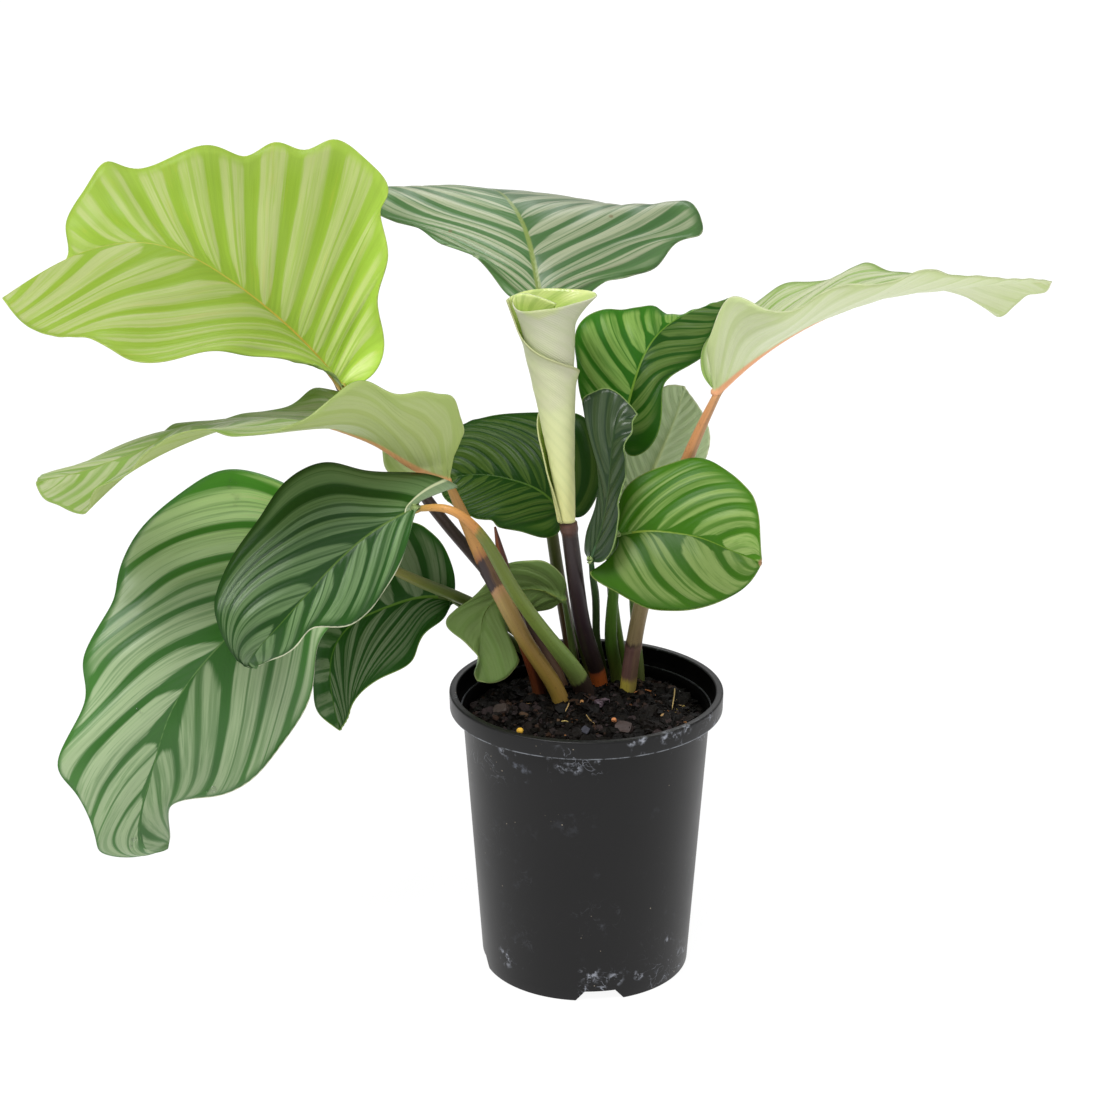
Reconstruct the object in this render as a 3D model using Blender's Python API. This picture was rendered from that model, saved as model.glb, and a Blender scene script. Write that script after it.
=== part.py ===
"""Potted calathea with round striped leaves: black nursery pot, bark soil, thirteen open
leaves on their stems, one rolled new leaf and one pointed shoot.

Metres, +Z up. The origin is on the pot's axis at floor level, the photo's viewer is on -Y.
"""
import math
import random

import bmesh
import bpy
import numpy as np
from mathutils import Vector
from mathutils.geometry import delaunay_2d_cdt

MM = 0.001
FIT_GAP = 0.3 * MM

# The photo's viewpoint, worked out from the two ellipses of the pot
# All picture coordinates below are in the 1100 x 1100 photo
PHOTO_CENTRE = 550.0
PHOTO_FOCAL = 2800.0
VIEW_PITCH = math.radians(19.6)
VIEW_EYE = np.array([-22.5, -1607.0, 846.0]) * MM

# Pot, a nursery pot 170 mm across
POT_HEIGHT = 183.0 * MM
POT_RIM_RADIUS = 85.0 * MM
POT_RIM_BAND = 11.5 * MM
POT_RIM_LIP = 4.7 * MM
POT_SHOULDER_RADIUS = 77.0 * MM
POT_BASE_RADIUS = 65.2 * MM
POT_WALL = 1.6 * MM
POT_FLOOR_UNDER = 7.5 * MM
POT_FLOOR_TOP = 9.5 * MM
POT_FOOT_RADIUS = 12.0 * MM
POT_SIDES = 44
NOTCH_COUNT = 4
NOTCH_FIRST_ANGLE = math.radians(-82.5)
NOTCH_WIDE = 34.0 * MM
NOTCH_NARROW = 19.0 * MM
NOTCH_HEIGHT = 6.8 * MM
DRAIN_COUNT = 6
DRAIN_RADIUS = 5.0 * MM
DRAIN_CIRCLE = 38.0 * MM

# Soil
SOIL_LEVEL = 168.0 * MM
SOIL_EDGE_LEVEL = 163.5 * MM
SOIL_SPACING = 6.0 * MM
SOIL_JITTER = 0.9 * MM
SOIL_CHUNKS = 60
SOIL_CHUNK_REACH = 66.0 * MM
SOIL_CHUNK_RADIUS = (3.5 * MM, 6.5 * MM)
SOIL_CHUNK_RISE = (1.5 * MM, 4.5 * MM)
SOIL_CHUNK_LEAN = 0.3

# Leaf blades
BLADE_THICK = 1.0 * MM
RIB_AT_BASE = 2.8 * MM
RIB_AT_TIP = 1.1 * MM
VEIN_STATIONS = (0.0, 0.05, 0.3, 0.55, 0.78, 1.0)
SMALL_VEIN_STATIONS = (0.0, 0.07, 0.35, 0.68, 1.0)
SMALL_LEAF_ROWS = 12
# How the side veins crowd towards the base of the midrib, and how the midrib thins to the tip
RIB_POWER = 1.6
RIB_TAPER = 0.7
# A side vein's middle control point: share of its run along the midrib, and of its run outwards
VEIN_LEAD = 0.25
VEIN_SPREAD = 0.6
# A half this wide or wider bulges in full
FULL_BULGE_REACH = 50.0 * MM

# Stems
STEM_SIDES = 8
STEM_RINGS = 12
STEM_SINK = 12.0 * MM
STEM_HOLE_GAP = 0.45 * MM
# How far the foot stands straight above the soil, and how long its first stretch is, in stem sinks
STEM_RISE = 0.6
STEM_STRAIGHT = 2.2
# Where a stem ends under its blade: mm back from the blade's base, and mm below it
STEM_JOIN = (1.6, 1.9)

# Each open leaf: midrib and margins as picture x, picture y, depth in mm (plus is away from the
# viewer). Left and right are seen from the leaf's upper side, base to tip. The stem runs from a
# foot (x, y in mm on the soil) through the listed points to the leaf's base, with the radii in
# thick (mm) spread evenly along it. bulge lifts the left and right half between the veins' ends,
# and join says where the stem ends, where STEM_JOIN doesn't suit the leaf.
LEAVES = {
    "lime_top_left": dict(
        midrib=[(343, 388, 50), (300, 338, 34), (222, 274, 10), (150, 243, -5), (75, 255, -20),
                (2, 298, -35)],
        left=[(325, 370, 15), (296, 363, -20), (221, 352, -75), (154, 360, -95), (121, 356, -95),
              (86, 338, -88), (36, 331, -65)],
        right=[(371, 376, 50), (383, 345, 55), (378, 298, 60), (389, 256, 65), (379, 209, 72),
               (387, 188, 75),
               (366, 159, 80), (332, 139, 80), (304, 150, 75), (275, 142, 75), (246, 156, 70),
               (207, 145, 65),
               (139, 168, 50), (107, 161, 45), (84, 191, 35), (66, 224, 25), (66, 256, 5)],
        bulge=(4, -8), rows=20, colour=(152, 192, 82),
        join=(2.0, 3.0), foot=(-15, 32),
        stem=[(530, 628, 42), (484, 568, 48), (432, 506, 62), (398, 455, 72), (368, 412, 62)],
        thick=(4.4, 4.0, 3.6, 2.0), stem_colour=(70, 45, 42)),
    "arching_left": dict(
        midrib=[(447, 480, -5), (429, 474, -9), (403, 460, -15), (378, 444, -21), (352, 433, -27),
                (327, 425, -32), (300, 420, -36), (260, 418, -40), (215, 424, -46), (180, 428, -52),
                (150, 446, -60), (120, 458, -68), (90, 469, -78), (36, 482, -95)],
        left=[(452, 463, -10), (456, 444, -16), (464, 434, -20), (460, 415, -29), (452, 396, -37),
              (438, 393, -43), (421, 390, -50), (395, 393, -58), (367, 381, -67), (345, 388, -80),
              (326, 403, -94), (296, 421, -108), (255, 433, -116), (229, 436, -120), (208, 431, -124),
              (180, 434, -127), (150, 448, -130), (134, 463, -133), (116, 479, -134), (95, 489, -133),
              (86, 514, -128), (62, 507, -118), (42, 496, -106)],
        right=[(432, 488, 10), (408, 480, 20), (388, 470, 28), (383, 452, 36), (375, 430, 41),
               (345, 394, 42), (330, 388, 42), (314, 387, 41), (300, 397, 38), (283, 408, 35),
               (250, 414, 32), (222, 420, 26), (200, 422, 21), (175, 422, 15), (160, 433, 8),
               (140, 446, 0), (104, 459, -20), (60, 470, -45), (43, 474, -65)],
        bulge=(-1, 2), rows=18, colour=(150, 180, 100),
        foot=(-16, 12), stem=[(528, 645, 2), (500, 592, -3), (470, 530, -6)], thick=(5.4, 4.8, 5.8, 2.4),
        stem_colour=(190, 150, 90)),
    "front_left": dict(
        midrib=[(416, 506, -45), (364, 538, -60), (316, 584, -80), (275, 630, -97), (250, 660, -95),
                (256, 669, -80)],
        left=[(411, 526, -50), (399, 564, -60), (385, 592, -70), (347, 626, -85), (313, 629, -92),
              (295, 648, -96), (270, 660, -92)],
        right=[(436, 493, -28), (458, 487, -25), (445, 478, -20), (416, 472, -15), (364, 471, -20),
               (326, 462, -28),
               (285, 481, -42), (261, 516, -58), (237, 550, -70), (216, 592, -88), (216, 620, -98),
               (235, 658, -98)],
        bulge=(4, 4), rows=16, colour=(48, 96, 52),
        join=(2.0, 4.0), foot=(-1, 24),
        stem=[(560, 652, 2), (514, 590, -24), (481, 535, -46), (450, 510, -54)],
        thick=(7.0, 4.6, 3.9, 1.9), stem_colour=(120, 140, 72)),
    "low_left": dict(
        midrib=[(345, 550, -25), (290, 580, -38), (218, 647, -60), (171, 712, -74), (150, 780, -80),
                (139, 822, -78), (148, 850, -68), (168, 849, -58)],
        left=[(362, 575, -25), (345, 610, -35), (322, 640, -45), (313, 678, -52), (302, 715, -58),
              (261, 770, -66), (213, 798, -70), (171, 805, -72), (170, 832, -62)],
        right=[(335, 522, -15), (300, 490, -5), (262, 474, 0), (223, 471, 2), (185, 490, -5),
               (140, 528, -22),
               (118, 577, -42), (112, 605, -50), (83, 658, -68), (84, 700, -78), (58, 763, -92),
               (75, 792, -92),
               (96, 841, -84), (103, 854, -76), (135, 857, -66)],
        bulge=(5, 5), rows=20, colour=(92, 138, 88),
        foot=(-20, 48), stem=[(533, 645, 50), (477, 606, 36), (430, 586, 12), (392, 569, -8)],
        thick=(4.0, 3.6, 3.6, 2.0), stem_colour=(112, 130, 66)),
    "behind_left": dict(
        midrib=[(452, 600, 32), (423, 597, 26), (382, 609, 18), (350, 626, 10), (332, 655, 4),
                (332, 695, 2),
                (340, 731, 2)],
        left=[(449, 610, 28), (440, 622, 22), (423, 636, 18), (413, 660, 12), (382, 678, 4), (354, 702, -1),
              (349, 716, -1)],
        right=[(455, 590, 34), (447, 550, 40), (430, 531, 43), (416, 523, 44), (385, 525, 42),
               (350, 550, 32),
               (325, 590, 22), (314, 640, 14), (312, 680, 9), (318, 712, 6)],
        bulge=(2, 4), rows=12, colour=(52, 96, 56),
        foot=(-31, 58), stem=[(527, 654, 60), (484, 620, 50)], thick=(3.2, 3.0, 2.8, 1.8),
        stem_colour=(96, 120, 60)),
    "top_centre": dict(
        midrib=[(541, 302, 55), (532, 254, 75), (523, 224, 95), (511, 203, 115), (498, 191, 140),
                (478, 189, 180),
                (455, 205, 230), (440, 235, 265)],
        left=[(512, 298, 57), (493, 276, 65), (470, 252, 71), (443, 245, 81), (415, 227, 91),
              (376, 212, 107),
              (374, 195, 123), (385, 188, 150), (400, 196, 195), (415, 215, 240)],
        right=[(575, 300, 57), (590, 293, 61), (610, 280, 65), (635, 275, 73), (658, 266, 79),
               (677, 243, 91),
               (700, 236, 101), (701, 220, 111), (688, 201, 123), (658, 210, 150), (625, 210, 190),
               (570, 212, 230), (500, 225, 260)],
        bulge=(3, 3), rows=16, colour=(98, 136, 92),
        foot=(-7, 56), stem=[(567, 625, 60), (556, 560, 68), (549, 500, 82), (547, 430, 92), (543, 350, 72)],
        thick=(4.4, 4.0, 3.6, 2.0), stem_colour=(92, 104, 50)),
    "upper_right": dict(
        midrib=[(622, 428, 25), (629, 401, 25), (636, 376, 28), (649, 346, 38), (672, 322, 55),
                (700, 308, 70),
                (729, 298, 85)],
        left=[(600, 425, 25), (582, 400, 28), (577, 370, 32), (576, 330, 38), (599, 311, 48),
              (626, 309, 55),
              (654, 305, 62), (672, 316, 66), (700, 309, 75)],
        right=[(628, 455, 18), (646, 451, 15), (661, 422, 15), (663, 390, 22), (672, 376, 28),
               (702, 357, 45),
               (709, 344, 52), (720, 318, 70)],
        bulge=(4, 4), rows=12, colour=(66, 118, 50),
        join=(2.2, 2.4), foot=(24, 62), stem=[(613, 600, 46), (612, 520, 38), (617, 460, 36)],
        thick=(3.6, 3.2, 3.0, 1.8), stem_colour=(70, 100, 44)),
    "narrow_folded": dict(
        midrib=[(590, 560, -25), (603, 520, -23), (609, 480, -18), (612, 445, -12), (620, 420, -8),
                (638, 414, -5)],
        left=[(584, 552, -18), (586, 538, -14), (592, 515, -12), (598, 490, -8), (604, 468, -4),
              (600, 450, 0),
              (594, 423, 4), (582, 400, 6), (594, 391, 6), (608, 388, 4), (624, 398, 0)],
        right=[(602, 562, -30), (613, 549, -34), (617, 530, -34), (620, 500, -32), (624, 479, -28),
               (626, 455, -22),
               (625, 441, -18), (632, 432, -14), (633, 422, -10)],
        bulge=(3, 3), rows=12, colour=(44, 78, 62),
        foot=(12, 52), stem=[(597, 640, 38), (596, 605, 24), (593, 578, -4)], thick=(2.6, 2.4, 2.4, 1.6),
        stem_colour=(72, 98, 56)),
    "dark_centre": dict(
        midrib=[(560, 512, 25), (551, 500, 28), (533, 487, 32), (509, 479, 36), (487, 475, 39),
                (455, 477, 41),
                (438, 485, 42)],
        left=[(559, 532, 18), (543, 538, 14), (519, 531, 10), (498, 527, 9), (492, 521, 9), (479, 519, 11),
              (456, 507, 19), (445, 499, 30)],
        right=[(581, 517, 24), (598, 495, 28), (603, 465, 35), (590, 425, 50), (576, 413, 56),
               (535, 412, 64),
               (487, 417, 66), (464, 423, 62), (448, 440, 56), (440, 466, 48)],
        bulge=(3, 5), rows=12, colour=(44, 84, 44),
        join=(2.2, 2.7), foot=(3, 56), stem=[(579, 630, 48), (571, 560, 33)], thick=(3.6, 3.4, 3.0, 1.8),
        stem_colour=(86, 104, 48)),
    "round_front_right": dict(
        midrib=[(617, 535, -10), (648, 531, -15), (675, 533, -19), (701, 538, -22), (728, 549, -25),
                (762, 563, -30)],
        left=[(616, 520, -7), (618, 508, -4), (627, 487, 0), (648, 471, 3), (669, 463, 4), (696, 458, 3),
              (720, 466, -1), (742, 482, -9), (755, 500, -16), (760, 530, -23)],
        right=[(609, 560, -16), (590, 571, -19), (594, 579, -22), (616, 592, -29), (645, 608, -36),
               (669, 611, -39),
               (701, 608, -40), (739, 592, -37), (755, 576, -33)],
        bulge=(4, 4), rows=14, colour=(92, 146, 62),
        foot=(20, 49), stem=[(611, 640, 34), (614, 585, 9)], thick=(4.2, 4.0, 3.4, 1.8),
        stem_colour=(88, 124, 46)),
    "upright_back_right": dict(
        midrib=[(635, 515, 52), (655, 465, 58), (676, 415, 64), (684, 386, 68)],
        left=[(665, 507, 52), (695, 478, 54), (710, 444, 58), (708, 425, 60), (699, 407, 63)],
        right=[(618, 500, 54), (614, 470, 56), (622, 430, 60), (645, 398, 64), (669, 385, 66)],
        bulge=(3, 3), rows=10, colour=(136, 164, 128),
        foot=(35, 52), stem=[(634, 610, 52), (633, 560, 50)], thick=(3.0, 2.8, 2.6, 1.8),
        stem_colour=(110, 140, 80)),
    "arching_right": dict(
        midrib=[(716, 392, 0), (750, 362, 0), (796, 331, 0), (842, 309, 0), (888, 294, 0), (947, 284, 0),
                (1000, 281, 0), (1052, 281, 0)],
        left=[(704, 378, 10), (701, 357, 28), (712, 335, 45), (740, 312, 56), (787, 284, 62),
              (810, 283, 62),
              (837, 275, 62), (865, 261, 65), (890, 271, 60), (925, 276, 53), (955, 289, 46),
              (982, 299, 40), (997, 316, 34), (1014, 307, 26), (1031, 294, 16), (1045, 292, 7)],
        right=[(711, 367, -8), (709, 344, -18), (713, 330, -25), (729, 298, -42), (760, 305, -58),
               (795, 308, -72),
               (835, 288, -78), (880, 283, -80), (908, 273, -77), (930, 268, -70), (952, 276, -58),
               (980, 276, -44), (1010, 277, -28), (1035, 279, -13)],
        bulge=(4, -4), rows=18, colour=(160, 190, 118),
        foot=(27, 34), stem=[(641, 607, 28), (664, 530, 22), (688, 458, 14)], thick=(5.2, 5.0, 4.6, 2.4),
        stem_colour=(206, 150, 100)),
    "small_low_centre": dict(
        midrib=[(562, 598, 30), (540, 588, 28), (508, 592, 24), (485, 612, 18), (480, 645, 12),
                (477, 681, 6)],
        left=[(566, 582, 26), (546, 562, 20), (530, 560, 18), (506, 564, 16), (485, 585, 15),
              (472, 598, 14),
              (448, 616, 12), (447, 627, 10), (458, 637, 8), (468, 645, 6), (479, 660, 4), (474, 672, 4)],
        right=[(552, 607, 34), (530, 612, 34), (508, 629, 30), (495, 648, 22), (510, 655, 16),
               (519, 659, 12),
               (509, 675, 8), (493, 683, 5)],
        bulge=(-2, -2), rows=12, colour=(128, 156, 106),
        join=(2.2, 2.2), foot=(-6, 44), stem=[(571, 640, 40)], thick=(2.4, 2.2, 2.0, 1.5),
        stem_colour=(104, 128, 66)),
}

# Rolled new leaf: a sheet wound into a tall funnel on its own dark stem
ROLL_FOOT = (9, 38)
ROLL_BASE = (567, 521, 0)
ROLL_MOUTH = (545, 299, 0)
ROLL_STEM = [(584, 630, 20), (575, 575, 6)]
ROLL_STEM_THICK = (5.2, 5.2, 5.2, 5.0)
ROLL_BASE_RADIUS = 6.2 * MM
ROLL_MOUTH_RADIUS = 19.0 * MM
ROLL_LAYER = 1.5 * MM
ROLL_SHEET = 0.9 * MM
# Levels of the sheet, closer where its outer edge winds fast, and its points in one turn
ROLL_LEVELS = (0.0, 0.1, 0.2, 0.3, 0.38, 0.43, 0.48, 0.53, 0.58, 0.63, 0.68, 0.71, 0.74, 0.77, 0.8,
               0.84, 0.88, 0.92, 0.96, 1.0)
ROLL_SIDES = 14
ROLL_FLARE = 1.15
# The lip turns outwards above this height share, and most of all where it runs out into a point
ROLL_LIP_FROM = 0.88
ROLL_LIP = 2.0 * MM
ROLL_POINT = 11.0 * MM
ROLL_POINT_ANGLE = math.radians(12.0)
ROLL_EDGE_LIFT = 2.0 * MM
# Where the sheet's inner edge starts at the base, and how far it has moved on at the mouth, in turns;
# past a whole turn the sheet leaves the wall and curls across the funnel
ROLL_INNER_TURN = -0.8
ROLL_INNER_SHIFT = -0.7
ROLL_CURL_TURNS = 0.5
# Heights of the rim at the mouth: its tilt, the dip at its front left, the hump of the inner curl
ROLL_TILT = 1.5 * MM
ROLL_DIP = 3.0 * MM
ROLL_HUMP = 4.0 * MM
# Where the sheet's outer edge runs, as (height share, turns)
ROLL_OUTER_EDGE = ((0.0, 1.17), (0.19, 1.1), (0.39, 1.0), (0.68, 0.5), (0.75, 0.3), (0.81, 0.15),
                   (0.9, 0.03), (1.0, 0.0))
ROLL_COLOUR = (205, 214, 176)
ROLL_STEM_COLOUR = (66, 46, 44)

# Reddish pointed shoot behind the arching left leaf's stem
SHOOT_FOOT = (-29, 23)
SHOOT_POINTS = [(524, 640, 13), (511, 600, 9), (503, 565, 7), (495, 527, 6)]
SHOOT_THICK = (4.6, 4.5, 4.4, 4.4, 4.3, 3.4, 0.7)
SHOOT_COLOUR = (120, 66, 48)

POT_COLOUR = (38, 38, 40)
SOIL_COLOUR = (34, 28, 26)


def linear(colour):
    """A colour as read off the photo (0 to 255), turned into the linear values a material takes."""
    shares = [c / 255.0 for c in colour]
    return [s / 12.92 if s <= 0.04045 else ((s + 0.055) / 1.055) ** 2.4 for s in shares] + [1.0]


def make_object(name, mesh_data, colour, roughness=0.5, smooth=True):
    """Turn a finished bmesh into a named object with its own material."""
    bmesh.ops.recalc_face_normals(mesh_data, faces=mesh_data.faces)
    mesh = bpy.data.meshes.new(name)
    mesh_data.to_mesh(mesh)
    mesh_data.free()
    for polygon in mesh.polygons:
        polygon.use_smooth = smooth
    material = bpy.data.materials.new(name)
    material.use_nodes = True
    shader = material.node_tree.nodes["Principled BSDF"]
    shader.inputs["Base Color"].default_value = linear(colour)
    shader.inputs["Roughness"].default_value = roughness
    shader.inputs["Metallic"].default_value = 0.0
    mesh.materials.append(material)
    thing = bpy.data.objects.new(name, mesh)
    bpy.context.scene.collection.objects.link(thing)
    return thing


def seen_at(x, y, depth):
    """The point that the photo shows at picture x, y and that lies depth mm behind the pot's axis."""
    forward = np.array([0.0, math.cos(VIEW_PITCH), -math.sin(VIEW_PITCH)])
    upward = np.array([0.0, math.sin(VIEW_PITCH), math.cos(VIEW_PITCH)])
    ray = forward - upward * (y - PHOTO_CENTRE) / PHOTO_FOCAL
    ray[0] = (x - PHOTO_CENTRE) / PHOTO_FOCAL
    return VIEW_EYE + ray * ((depth * MM - VIEW_EYE[1]) / ray[1])


def smooth_curve(points, count=300):
    """A natural cubic through the points, then evenly spaced along its length."""
    points = np.asarray(points, float)
    last = len(points) - 1
    steps = np.linalg.norm(np.diff(points, axis=0), axis=1) ** 0.5
    knots = np.concatenate([[0.0], np.cumsum(steps)])
    gaps = np.diff(knots)
    matrix = np.eye(last + 1)
    wanted = np.zeros_like(points)
    for i in range(1, last):
        matrix[i, i - 1:i + 2] = gaps[i - 1], 2.0 * (gaps[i - 1] + gaps[i]), gaps[i]
        slope_before = (points[i] - points[i - 1]) / gaps[i - 1]
        slope_after = (points[i + 1] - points[i]) / gaps[i]
        wanted[i] = 6.0 * (slope_after - slope_before)
    bend = np.linalg.solve(matrix, wanted)
    place = np.linspace(0.0, knots[-1], 4 * count)
    i = np.clip(np.searchsorted(knots, place) - 1, 0, last - 1)
    ahead = (knots[i + 1] - place)[:, None]
    behind = (place - knots[i])[:, None]
    gap = gaps[i][:, None]
    fine = (bend[i] * ahead ** 3 + bend[i + 1] * behind ** 3) / (6.0 * gap)
    fine += (points[i] / gap - bend[i] * gap / 6.0) * ahead
    fine += (points[i + 1] / gap - bend[i + 1] * gap / 6.0) * behind
    run = np.concatenate([[0.0], np.cumsum(np.linalg.norm(np.diff(fine, axis=0), axis=1))])
    even = np.linspace(0.0, run[-1], count)
    return np.stack([np.interp(even, run, fine[:, k]) for k in range(3)], axis=1)


def along(curve, share):
    """Points at the given shares (0 to 1) of an evenly spaced curve."""
    place = np.clip(share, 0.0, 1.0) * (len(curve) - 1)
    index = np.arange(len(curve))
    return np.stack([np.interp(place, index, curve[:, k]) for k in range(3)], axis=-1)


def directions(curve):
    """Unit direction at each point of a curve."""
    step = np.gradient(curve, axis=0)
    return step / np.linalg.norm(step, axis=1)[:, None]


def half_blade(leaf, side, u, v):
    """Upper surface of one half: vein number u (0 base, 1 tip), share v out along that vein."""
    midrib = smooth_curve([seen_at(*p) for p in leaf["midrib"]])
    outer = [leaf["midrib"][0]] + leaf[side] + [leaf["midrib"][-1]]
    margin = smooth_curve([seen_at(*p) for p in outer])
    start = along(midrib, u ** RIB_POWER)
    heading = along(directions(midrib), u ** RIB_POWER)
    end = along(margin, u)
    reach = end - start
    forward = np.sum(reach * heading, axis=-1, keepdims=True) * heading
    outward = reach - forward
    upward = np.cross(heading, outward) if side == "left" else np.cross(outward, heading)
    upward /= np.maximum(np.linalg.norm(upward, axis=-1, keepdims=True), 1e-9)
    height = 2.0 * MM * leaf["bulge"][0 if side == "left" else 1]
    width = np.linalg.norm(outward, axis=-1, keepdims=True)
    height = height * np.minimum(1.0, width / FULL_BULGE_REACH)
    middle = start + VEIN_LEAD * forward + VEIN_SPREAD * outward + height * upward
    v = v[..., None]
    return (1.0 - v) ** 2 * start + 2.0 * v * (1.0 - v) * middle + v ** 2 * end


def base_frame(leaf):
    """Base point, direction of the midrib there and the blade's upward normal there."""
    midrib = smooth_curve([seen_at(*p) for p in leaf["midrib"]])
    heading = directions(midrib)[0]
    number = np.full(1, 0.12)
    out = np.full(1, 0.5)
    left = half_blade(leaf, "left", number, out)[0] - midrib[0]
    right = half_blade(leaf, "right", number, out)[0] - midrib[0]
    normal = np.cross(heading, left) / np.linalg.norm(left) + np.cross(right, heading) / np.linalg.norm(right)
    normal -= heading * (normal @ heading)
    return midrib[0], heading, normal / np.linalg.norm(normal)


def make_blade(name, leaf):
    """One leaf blade, closed: upper face, lower face with a raised midrib, and the margin between."""
    rows = leaf["rows"]
    numbers = np.arange(1, rows) / rows
    shares = np.array(SMALL_VEIN_STATIONS if rows <= SMALL_LEAF_ROWS else VEIN_STATIONS)
    u, v = np.meshgrid(numbers, shares, indexing="ij")
    left = half_blade(leaf, "left", u, v)
    right = half_blade(leaf, "right", u, v)
    grid = np.concatenate([left[:, :0:-1], right], axis=1)
    midrib = smooth_curve([seen_at(*p) for p in leaf["midrib"]])
    across = grid.shape[1]
    centre = len(shares) - 1
    top = [tuple(p) for p in grid.reshape(-1, 3)] + [tuple(midrib[0]), tuple(midrib[-1])]
    base = len(top) - 2
    tip = len(top) - 1
    faces = []
    for i in range(rows - 2):
        for j in range(across - 1):
            a = i * across + j
            b = a + across
            if j < centre:
                faces += [(a, a + 1, b), (a + 1, b + 1, b)]
            else:
                faces += [(a, a + 1, b + 1), (a, b + 1, b)]
    for j in range(across - 1):
        faces.append((base, j + 1, j))
        foot = (rows - 2) * across + j
        faces.append((tip, foot, foot + 1))
    points = np.array(top)
    normals = np.zeros_like(points)
    for a, b, c in faces:
        normals[[a, b, c]] += np.cross(points[b] - points[a], points[c] - points[a])
    normals /= np.linalg.norm(normals, axis=1)[:, None]
    upward = base_frame(leaf)[2]
    if normals[base] @ upward < 0.0:
        normals = -normals
    depth = np.full(len(points), BLADE_THICK)
    for i in range(rows - 1):
        depth[i * across + centre] = RIB_AT_BASE + (RIB_AT_TIP - RIB_AT_BASE) * numbers[i] ** RIB_TAPER
    depth[base] = RIB_AT_BASE
    under = points - normals * depth[:, None]
    body = bmesh.new()
    upper = [body.verts.new(p) for p in points]
    lower = [body.verts.new(p) for p in under]
    for a, b, c in faces:
        body.faces.new((upper[a], upper[b], upper[c]))
        body.faces.new((lower[c], lower[b], lower[a]))
    edge = [base] + [i * across for i in range(rows - 1)] + [tip]
    edge += [i * across + across - 1 for i in range(rows - 2, -1, -1)]
    for a, b in zip(edge, edge[1:] + edge[:1]):
        body.faces.new((upper[a], lower[a], lower[b]))
        body.faces.new((upper[a], lower[b], upper[b]))
    return make_object(name, body, leaf["colour"], 0.45)


def tube_rings(curve, radii, sides):
    """Rings of points around a curve, turned as little as possible from one to the next."""
    heading = directions(curve)
    side = np.cross(heading[0], (0.0, 1.0, 0.0))
    rings = []
    for point, ahead, radius in zip(curve, heading, radii):
        side = side - ahead * (side @ ahead)
        side /= np.linalg.norm(side)
        other = np.cross(ahead, side)
        turn = [2.0 * math.pi * k / sides for k in range(sides)]
        rings.append([point + radius * (math.cos(t) * side + math.sin(t) * other) for t in turn])
    return rings


def tube_body(curve, radii, sides=STEM_SIDES):
    """A closed round rod along a curve."""
    body = bmesh.new()
    rings = [[body.verts.new(p) for p in ring] for ring in tube_rings(curve, radii, sides)]
    for low, high in zip(rings, rings[1:]):
        for k in range(sides):
            after = (k + 1) % sides
            body.faces.new((low[k], low[after], high[after], high[k]))
    body.faces.new(rings[0][::-1])
    body.faces.new(rings[-1])
    return body


def stem_curve(foot, points, end):
    """The line of a stem: straight up out of the soil from its sunk foot, then through its points."""
    ground = np.array([foot[0] * MM, foot[1] * MM, SOIL_LEVEL])
    first = seen_at(*points[0])
    rise = first - ground
    rise /= np.linalg.norm(rise)
    rise = rise + np.array([0.0, 0.0, 1.0])
    rise /= np.linalg.norm(rise)
    low = ground - rise * STEM_SINK
    high = ground + rise * STEM_SINK * STEM_RISE
    return smooth_curve([low, high] + [seen_at(*p) for p in points] + [end])


def stem_parts(curve, thick, name, colour):
    """The stem's own body, and the cutter for the plain hole that it stands in."""
    length = np.sum(np.linalg.norm(np.diff(curve, axis=0), axis=1))
    straight = STEM_STRAIGHT * STEM_SINK / length
    shares = np.concatenate([[0.0], np.linspace(straight, 1.0, STEM_RINGS - 1)])
    places = np.linspace(0.0, 1.0, len(thick))
    radii = np.interp(shares, places, thick) * MM
    stem = make_object(name, tube_body(along(curve, shares), radii), colour, 0.5)
    low, high = along(curve, shares[:2])
    low = low - (high - low) / np.linalg.norm(high - low) * STEM_HOLE_GAP
    return stem, tube_body(np.array([low, high]), radii[:2] + STEM_HOLE_GAP)


def open_leaf(key, leaf):
    """The blade and the stem of one open leaf; returns the cutter for the hole in the soil."""
    make_blade("leaf_" + key, leaf)
    point, heading, normal = base_frame(leaf)
    back, under = leaf.get("join", STEM_JOIN)
    end = point - heading * back * MM - normal * under * MM
    curve = stem_curve(leaf["foot"], leaf["stem"], end)
    return stem_parts(curve, leaf["thick"], "stem_" + key, leaf["stem_colour"])[1]


def roll_edge(height):
    """Where the outer edge of the wound sheet runs at a height share, in turns."""
    places, turns = zip(*ROLL_OUTER_EDGE)
    return np.interp(height, places, turns)


def roll_turns(height):
    """The turns at which one level of the sheet has points: whole steps between its two edges."""
    first = ROLL_INNER_TURN + ROLL_INNER_SHIFT * height
    last = float(roll_edge(height))
    steps = [k / ROLL_SIDES for k in range(math.ceil(first * ROLL_SIDES), math.ceil(last * ROLL_SIDES))]
    near = 0.3 / ROLL_SIDES
    return [first] + [t for t in steps if first + near < t < last - near] + [last]


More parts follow.
